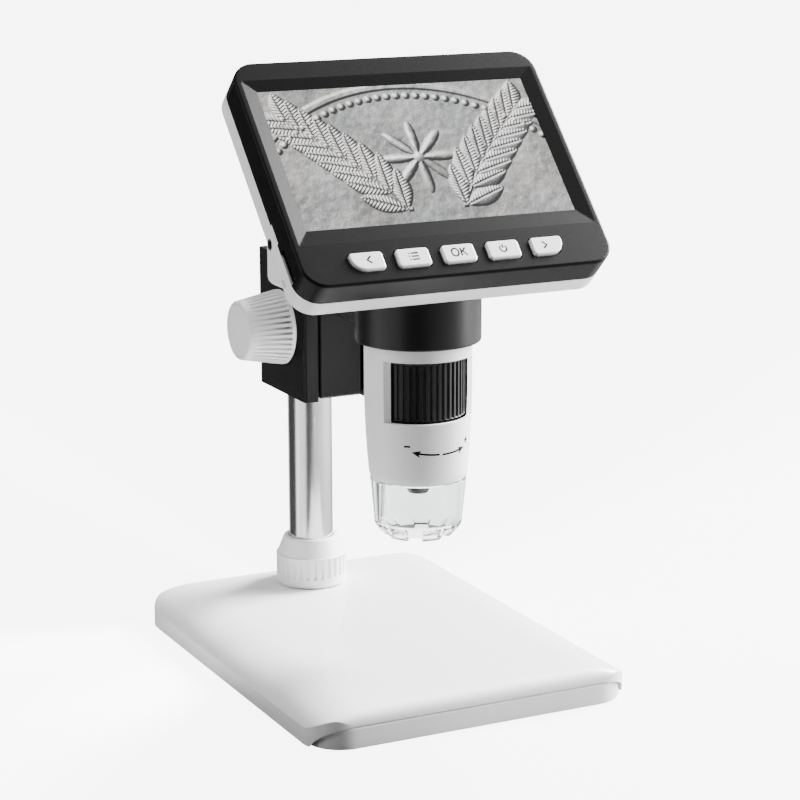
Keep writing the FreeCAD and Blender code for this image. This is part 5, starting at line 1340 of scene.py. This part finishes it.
    def colours(self) -> tuple[Array, Array, Array]:
        """Return the grid's across and up places and its colours as linear RGB.

        Returns:
            Places across, places up, and linear RGB, each on the grid.
        """
        x, y = np.meshgrid(np.linspace(-self.half_width, self.half_width, self.columns),
                           np.linspace(-self.half_height, self.half_height, self.rows))
        pits = self.cloud(70, 0.5) + self.cloud(150, 0.5)
        relief = np.maximum.reduce([self.sprig(x, y, -1.0), self.sprig(x, y, 1.0), self.arch(x, y),
                                    self.flower(x, y)])
        height = relief * self.gain + 0.05 * pits + 0.10 * self.cloud(26, 1.0) + 0.16 * self.cloud(9, 1.0)
        up, across = np.gradient(height, 2 * self.half_width / (self.columns - 1))
        normal = np.stack([-across, -up, np.ones_like(x)], axis=-1)
        normal /= np.linalg.norm(normal, axis=-1, keepdims=True)
        tone = self.shade + self.lit * np.clip(normal @ np.array(self.light), -0.25, 1)
        shine = np.clip(normal @ np.array(self.glint), 0, 1) ** 26
        raised = np.clip(relief, 0, 1)
        tone = tone * (0.86 + 0.10 * raised) + self.shine * shine * (0.3 + 0.7 * raised)
        tone += 0.035 * self.cloud(5, 1.0) + 0.03 * self.cloud(40, 1.0) + 0.03 * pits
        tone = self.middle + (tone - self.middle) * self.contrast
        warm = 0.5 + 0.5 * self.cloud(4, 1.0)
        tint = np.stack([0.985 + 0.035 * warm, 0.995 + 0.008 * warm, 1.01 - 0.045 * warm], axis=-1)
        return x, y, to_linear(np.clip(tone[..., None] * tint, 0.03, 0.97))


@dataclass
class Head:
    """The tilted screen head: black bezel, white rear cover, lit screen, five keys and the side sockets.

    Places on it are given in its own seat: across, up the screen, and out of it. Rings and cuts
    are given as their sides, corner radius and height or depth.
    """

    finishes: Finishes
    picture: Picture = field(default_factory=Picture)
    half_width: float = 54.3
    bottom: float = -48.2
    top: float = 37.7
    corner: float = 8.0
    face: float = 1.4
    face_edge: float = 0.9
    seam: float = -8.0
    seam_gap: float = 0.05
    back: float = -15.0
    back_edge: float = 1.4
    bezel_rings: tuple[tuple[Box, float, float], ...] = (
        ((-52.28, 52.28, -32.90, 30.78), 0.7, 1.4), ((-52.08, 52.08, -32.70, 30.58), 0.6, 1.35),
        ((-47.52, 47.52, -26.93, 26.93), 0.25, 0.35), ((-47.52, 47.52, -26.93, 26.93), 0.25, -0.15),
        ((-52.7, 52.7, -46.6, 36.1), 6.4, -0.2), ((-52.7, 52.7, -46.6, 36.1), 6.4, -7.95))
    side_cuts: tuple[tuple[Box, float, float], ...] = (
        ((-40.7, -29.3, -7.3, -6.4), 0.3, 3.0), ((-40.7, -29.3, -9.0, -5.05), 0.1, 0.7),
        ((-25.7, -18.3, -9.0, -7.0), 0.1, 1.9))
    hump_half: float = 44.0
    hump_front: float = -90.0
    hump_back: float = -5.5
    hump_low: float = 136.8
    hump_top: float = 215.0
    hump_edge: float = 3.0
    hump_corner: float = 6.0
    hump_cut: float = -13.6
    tab: Box = (-54.3, -52.6, -25.6, -18.4)
    inlet: Spot = (-54.3, -22.0, -12.9)
    inlet_radius: float = 2.0
    screw_x: float = 47.4
    screw_rows: Span = (34.0, -44.2)
    screw_radius: float = 1.7
    screen_thick: float = 0.12
    screen_edge: float = 0.01
    key_half: Span = (5.65, 3.25)
    key_drop: float = -40.6
    key_pitch: float = 15.8
    key_shift: float = -0.4
    key_low: float = 0.45
    key_top: float = 2.35
    key_edge: float = 0.6
    key_gap: float = 0.42
    key_corner: float = 1.2
    key_big_corner: float = 4.9

    def ring(self, inset: float) -> Array:
        """Outline of the head moved in by an inset."""
        w = self.half_width - inset
        return rectangle((-w, w, self.bottom + inset, self.top - inset), max(self.corner - inset, 0.5), 12)

    def key_centre(self, key: Key) -> Array:
        """Middle of one key, across and up."""
        return np.array([self.key_shift + (key.value - Key.OK.value) * self.key_pitch, self.key_drop])

    def key_outline(self, key: Key, grow: float) -> Array:
        """Outline of one key grown by a gap; the outer keys have one large lower corner.

        Args:
            key: the key.
            grow: the gap.

        Returns:
            Array of (points, 2).
        """
        x, y = self.key_centre(key)
        wide, tall = (half + grow for half in self.key_half)
        small, large = self.key_corner + grow, self.key_big_corner + grow
        radii = [large if key is Key.LEFT else small, large if key is Key.RIGHT else small, small, small]
        return rectangle((x - wide, x + wide, y - tall, y + tall), radii, 10)

    def on_side(self, points: Array) -> Array:
        """Put (up, out of the screen, out of the side) on the head's left side."""
        return HEAD(np.stack([-self.half_width - points[..., 2], points[..., 0], points[..., 1]], axis=-1))

    def bezel(self) -> Thing:
        """Make the bezel, cut by the keys' openings and the two slots in its side.

        Rings run up the outside, round the edge, down the slope to the screen and back behind.

        Returns:
            The bezel's object.
        """
        black = self.finishes.black
        rings = [(self.ring(0.0), self.seam + self.seam_gap)]
        rings += [(self.ring(inset), self.face - self.face_edge + up)
                  for inset, up in round_over(self.face_edge, 6)]
        rings += [(rectangle(sides, corner, 12), height) for sides, corner, height in self.bezel_rings]
        thing = sheet_solid("bezel_face", HEAD(levels(rings)), black, loop=True)
        tools = [plate("tool", self.key_outline(key, self.key_gap), HEAD, -1.0, 3.0, black) for key in Key]
        tools += [plate("tool", rectangle(sides, corner, 5), self.on_side, 1.0, -deep, black)
                  for sides, corner, deep in self.side_cuts]
        carve(thing, tools)
        return thing

    def hump(self) -> Thing:
        """Make the hump: an upright box with a rounded underside, cut off by the sloping back.

        Returns:
            The hump's object.
        """
        half, front, back, edge = self.hump_half, self.hump_front, self.hump_back, self.hump_edge
        rings = []
        for up, out in round_over(edge, 7):
            inset = edge - out
            sides = (-half + inset, half - inset, front, back - inset)
            rings.append((rectangle(sides, self.hump_corner - inset * 0.6, 10), self.hump_low + up))
        rings.append((rings[-1][0], self.hump_top))
        hump = sheet_solid("hump", levels(rings), self.finishes.white)
        behind = rectangle((-80, 80, -120, 120), 1.0, 3)
        carve(hump, [plate("tool", behind, HEAD, self.hump_cut, 120.0, self.finishes.white)])
        return hump

    def rear(self) -> Thing:
        """Make the rear cover: a shallow tray with the hump, a tab, the inlet and screw holes.

        Returns:
            The rear cover's object.
        """
        white = self.finishes.white
        rings = [(self.ring(0.0), self.seam)]
        rings += [(self.ring(inset), self.back + self.back_edge - up)
                  for inset, up in round_over(self.back_edge, 6)]
        tray = sheet_solid("rear_cover", HEAD(levels(rings)), white)
        tab = plate("tab", rectangle(self.tab, 0.05, 3), HEAD, -9.0, -7.1, white)
        carve(tray, [self.hump(), tab], "UNION")
        inlet = Seat(HEAD.moved(*self.inlet).origin, (0, 1, 0), (0, 0, 1), (1, 0, 0))
        holes = [drill(inlet, self.inlet_radius, -2.0, 9.0, white, 48)]
        for x in (-self.screw_x, self.screw_x):
            for v in self.screw_rows:
                seat = HEAD.moved(x, v, self.back - 1.0)
                holes.append(drill(seat, self.screw_radius, 0.0, 2.3, white, 32))
        carve(tray, holes)
        return tray

    def rim_numbers(self) -> Array:
        """Vertex numbers round the screen grid's border."""
        rows, columns = self.picture.rows, self.picture.columns
        number = np.arange(rows * columns).reshape(rows, columns)
        return np.concatenate([number[0, :-1], number[:-1, -1], number[-1, :0:-1], number[:0:-1, 0]])

    def screen(self) -> Thing:
        """Make the lit screen: a fine grid that carries the picture as a colour attribute, on a thin slab.

        Returns:
            The screen's object.
        """
        x, y, rgb = self.picture.colours()
        grid = np.stack([x.ravel(), y.ravel()], axis=-1)
        rim = self.rim_numbers()
        points = HEAD(np.vstack([lifted(grid, 0.0), lifted(grid[rim], -self.screen_thick)]))
        count = len(grid)
        low = np.arange(count, len(points))
        sides = np.stack([rim, low, np.roll(low, -1), np.roll(rim, -1)], 1)
        faces = grid_faces(self.picture.rows, self.picture.columns, False, False)
        mesh = bpy.data.meshes.new("screen_picture")
        mesh.from_pydata((points * MM).tolist(), [], faces.tolist() + sides.tolist() + [low[::-1].tolist()])
        colour = mesh.color_attributes.new("picture", "FLOAT_COLOR", "POINT")
        paint = np.ones((len(points), 4))
        paint[:count, :3] = rgb.reshape(-1, 3)
        paint[count:, :3] = self.screen_edge
        colour.data.foreach_set("color", paint.ravel())
        mesh.materials.append(self.finishes.screen)
        work = bmesh.new()
        work.from_mesh(mesh)
        bmesh.ops.recalc_face_normals(work, faces=work.faces)
        work.to_mesh(mesh)
        work.free()
        return stand_up("screen_picture", mesh)

    def cap(self, key: Key) -> Thing:
        """Make one key: its outline rises straight, then pulls in round the top edge.

        Args:
            key: the key.

        Returns:
            The key's object.
        """
        shoulder = self.key_top - self.key_edge
        rings = [(self.key_outline(key, 0.0), self.key_low), (self.key_outline(key, 0.0), shoulder)]
        rings += [(self.key_outline(key, -inset), shoulder + up)
                  for inset, up in round_over(self.key_edge, 6, 0.2)]
        return sheet_solid(f"key_cap_{key.name.lower()}", HEAD(levels(rings)), self.finishes.key)

    def strokes(self, key: Key) -> list[tuple[Array, float]]:
        """Paths and widths of one key's plain symbol about the key's middle.

        Args:
            key: the key.

        Returns:
            The path and width of each stroke.
        """
        turns = {Key.OK: np.linspace(0, 2 * math.pi, 32, endpoint=False),
                 Key.POWER: np.radians(np.linspace(128, 412, 30))}
        table = {
            Key.LEFT: [([(1.3, 1.55), (-0.05, 0.25), (1.3, -1.05)], 0.58)],
            Key.RIGHT: [([(-1.75, 1.4), (-0.4, 0.1), (-1.75, -1.2)], 0.58)],
            Key.MENU: [([(start, y), (end, y)], width) for y in (1.3, 0.15, -1.0)
                       for start, end, width in ((-0.75, 1.75, 0.56), (-1.65, -1.2, 0.6))],
            Key.OK: [(arc((-1.4, 0.25), (1.2, 1.4), turns[Key.OK]), 0.58),
                     ([(0.7, 1.7), (0.7, -1.2)], 0.58),
                     ([(2.4, 1.7), (0.8, 0.1)], 0.56), ([(1.3, 0.7), (2.5, -1.2)], 0.56)],
            Key.POWER: [(arc((-0.25, 0.1), (1.15, 1.15), turns[Key.POWER]), 0.54),
                        ([(-0.25, 1.7), (-0.25, 0.3)], 0.54)]}
        return [(np.asarray(path, float), width) for path, width in table[key]]

    def legend(self, key: Key) -> Thing:
        """Print one key's plain symbol on its top.

        Args:
            key: the key; the first stroke of the OK key is a closed loop.

        Returns:
            The print's object.
        """
        middle, low, high = self.key_centre(key), self.key_top - 0.01, self.key_top + 0.015
        bits = [ribbon("bit", path + middle, width, HEAD, low, high, self.finishes.ink,
                       key is Key.OK and not i)
                for i, (path, width) in enumerate(self.strokes(key))]
        return merge(f"key_print_{key.name.lower()}", bits)

    def side_mark(self) -> Thing:
        """Print the plain direct-current sign behind the inlet: a line over three dashes.

        Returns:
            The print's object.
        """
        lines = [((-38.4, -12.0), (-35.6, -12.0))] + [((v, -12.9), (v + 0.7, -12.9))
                                                      for v in (-38.4, -37.35, -36.3)]
        return merge("inlet_print",
                     [ribbon("bit", np.array(line), 0.3, self.on_side, -0.01, 0.02, self.finishes.ink)
                                     for line in lines])

    def build(self) -> None:
        """Make and settle the head's pieces."""
        settle(self.bezel(), "head", "black_shell", "front_bezel")
        settle(self.rear(), "head", "white_shell", "rear_shell")
        settle(self.screen(), "head", "screen")
        for key in Key:
            body = f"key_{key.name.lower()}"
            settle(self.cap(key), body, "key_white", body)
            settle(self.legend(key), body, "black_shell")
        settle(self.side_mark(), "head", "black_shell")
        dress(self.finishes.dark_steel, "display_panel")
        dress(self.finishes.board, "main_board", "key_board")
        dress(self.finishes.chip, "processor", "key_switches")
        dress(self.finishes.steel, "board_screws", "head_screws", "power_inlet", "card_socket")
        dress(self.finishes.film, "battery")


@dataclass
class Studio:
    """The pale floor, the soft lights and the camera at the photograph's viewing angle.

    Each side of the tent is a range of direction and the strengths at its ends. Lamps are given
    as name, place, width, watts and height, in metres; with no height they are square.
    """

    focal_pixels: float = 2437.98
    yaw: float = 26.4
    pitch: float = 13.275
    roll: float = -0.147
    eye: Spot = (-349.59, -721.451, 281.133)
    floor_half: float = 6.0
    fan_place: Spot = (0.0248, -0.0499, 0.0)
    floor_bands: tuple[tuple[float, str], ...] = (
        (0.0, "1c1c1c"), (0.02, "262626"), (0.06, "e8e8e8"), (0.17, "e0e0e0"), (0.21, "303030"),
        (0.27, "343434"),
        (0.32, "808080"), (0.5, "8c8c8c"), (0.62, "808080"), (0.68, "404040"), (0.8, "404040"),
        (0.84, "808080"),
        (0.88, "1c1c1c"), (1.0, "1c1c1c"))
    floor_glow: float = 7.0
    through_bands: tuple[tuple[float, str], ...] = (
        (0.0, "404040"), (0.6, "404040"), (0.67, "ffffff"), (0.83, "ffffff"), (0.9, "404040"),
        (1.0, "404040"))
    through_glow: float = 3.0
    tent_depth: tuple[Span, Span] = ((-0.6, 0.1), (0.1, 0.5))
    tent_width: tuple[Span, Span] = ((-0.8, 0.4), (0.35, 0.9))
    tent_roof: tuple[Span, Span] = ((0.72, 0.95), (0.0, 1.6))
    lamps: tuple[tuple[str, Spot, float, float, float | None], ...] = (
        ("left_box", (-1.1, 0.35, 0.4), 0.5, 7.0, 1.0), ("right_box", (1.1, -0.4, 0.35), 0.4, 34.0, 0.8),
        ("key_box", (1.1, 0.15, 0.85), 0.6, 140.0, None))
    target: Spot = (0.0, 0.0, 0.1)

    def camera(self) -> None:
        """Put the camera where the fitted view has it: yaw about Z, then pitch down, then a slight roll."""
        yaw, pitch, roll = (math.radians(a) for a in (self.yaw, self.pitch, self.roll))
        ahead = np.array([math.sin(yaw) * math.cos(pitch), math.cos(yaw) * math.cos(pitch),
                          -math.sin(pitch)])
        right = np.array([math.cos(yaw), -math.sin(yaw), 0.0])
        up = np.cross(right, ahead)
        across = right * math.cos(roll) + up * math.sin(roll)
        upright = -right * math.sin(roll) + up * math.cos(roll)
        data = bpy.data.cameras.new("studio_camera")
        data.sensor_width = SENSOR_MM
        data.lens = self.focal_pixels * SENSOR_MM / PHOTO_PIXELS
        data.clip_start, data.clip_end = 0.01, 20.0
        place = Matrix(np.column_stack([across, upright, -ahead]).tolist()).to_4x4()
        place.translation = Vector(self.eye) * MM
        camera = stand_up("studio_camera", data)
        camera.matrix_world = place
        bpy.context.scene.camera = camera

    def lamp(self, name: str, spot: Spot, size: float, power: float, tall: float | None) -> None:
        """Add one soft area light that faces the object.

        Args:
            name: the light's name.
            spot: its place in metres.
            size: its width in metres.
            power: its power in watts.
            tall: its height in metres, or None for a square one.
        """
        data = bpy.data.lights.new(name, "AREA")
        data.energy, data.size = power, size
        if tall:
            data.shape, data.size_y = "RECTANGLE", tall
        light = stand_up(name, data)
        light.location = spot
        light.rotation_euler = (Vector(self.target) - Vector(spot)).to_track_quat("-Z", "Y").to_euler()

    def floor(self) -> None:
        """Lay a wide floor of matt card that glows to the eye.

        The card has bands of tone that fan out round the column. They show in reflections only,
        because what is seen directly has an even glow added, which makes it pale. Through the clear
        cap the card is seen with a weaker glow, in bands of its own.
        """
        half = self.floor_half
        mesh = bpy.data.meshes.new("floor")
        corners = [(-half, -half, 0), (half, -half, 0), (half, half, 0), (-half, half, 0)]
        mesh.from_pydata(corners, [], [(0, 1, 2, 3)])
        material, tree, shader, place = blank_material("matt_card")
        turned = add_node(tree, "Mapping",
                          {"Location": self.fan_place, "Rotation": (0.0, 0.0, math.radians(self.yaw))},
                          {"Vector": place}).outputs["Vector"]
        fan = add_node(tree, "TexGradient", links={"Vector": turned},
                       settings={"gradient_type": "RADIAL"}).outputs["Fac"]
        wire(tree, shader, {"Roughness": 0.95, "Specular IOR Level": 0.1},
             {"Base Color": ramp(tree, fan, *self.floor_bands)})
        ray = add_node(tree, "LightPath").outputs
        through = maths(tree, "MULTIPLY", ramp(tree, fan, *self.through_bands), self.through_glow)
        direct = maths(tree, "MULTIPLY", ray["Is Camera Ray"], self.floor_glow)
        glow = add_node(tree, "Emission", {"Color": linear("ffffff")},
                        {"Strength": maths(tree, "MAXIMUM", through, direct)})
        pale = add_node(tree, "AddShader", links={0: shader.outputs["BSDF"], 1: glow.outputs["Emission"]})
        seen = maths(tree, "MAXIMUM", ray["Is Camera Ray"], ray["Is Transmission Ray"])
        mix = add_node(tree, "MixShader",
                       links={0: seen, 1: shader.outputs["BSDF"], 2: pale.outputs["Shader"]})
        tree.links.new(mix.outputs["Shader"], tree.nodes["Material Output"].inputs["Surface"])
        mesh.materials.append(material)
        stand_up("floor", mesh)

    def room(self) -> None:
        """Surround the object with a light tent that is seen directly as pale as the floor.

        Its strength follows the direction: it rises smoothly from front to back and from left to
        right, and again towards the roof.
        """
        world = bpy.data.worlds.new("light_tent")
        world.use_nodes = True
        tree = world.node_tree
        way = add_node(tree, "SeparateXYZ",
                       links={0: add_node(tree, "TexCoord").outputs["Generated"]}).outputs
        depth, width, roof = (mapped(tree, way[axis], end, start, "SMOOTHSTEP") for axis, (start, end) in
                              (("Y", self.tent_depth), ("X", self.tent_width), ("Z", self.tent_roof)))
        strength = maths(tree, "ADD", maths(tree, "MULTIPLY", depth, width), roof)
        seen = add_node(tree, "LightPath").outputs["Is Camera Ray"]
        pale = add_node(tree, "Mix", {"B": self.floor_glow}, {"Factor": seen, "A": strength})
        wire(tree, tree.nodes["Background"], {"Color": linear("ffffff")},
             {"Strength": pale.outputs["Result"]})
        bpy.context.scene.world = world

    def build(self) -> None:
        """Set the camera, floor, tent and lights."""
        self.camera()
        self.floor()
        self.room()
        for lamp in self.lamps:
            self.lamp(*lamp)


def main() -> None:
    """Build the sub-assemblies in order and set the stage."""
    logging.basicConfig(level=logging.INFO, format="%(name)s: %(message)s")
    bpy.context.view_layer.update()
    finishes = Finishes()
    for part in (Base(finishes), Column(finishes), Bracket(finishes), Knobs(finishes), Barrel(finishes),
                 Head(finishes)):
        part.build()
        log.info("%s done", type(part).__name__)
    Studio().build()
    bpy.context.view_layer.update()


if __name__ == "__main__":
    main()
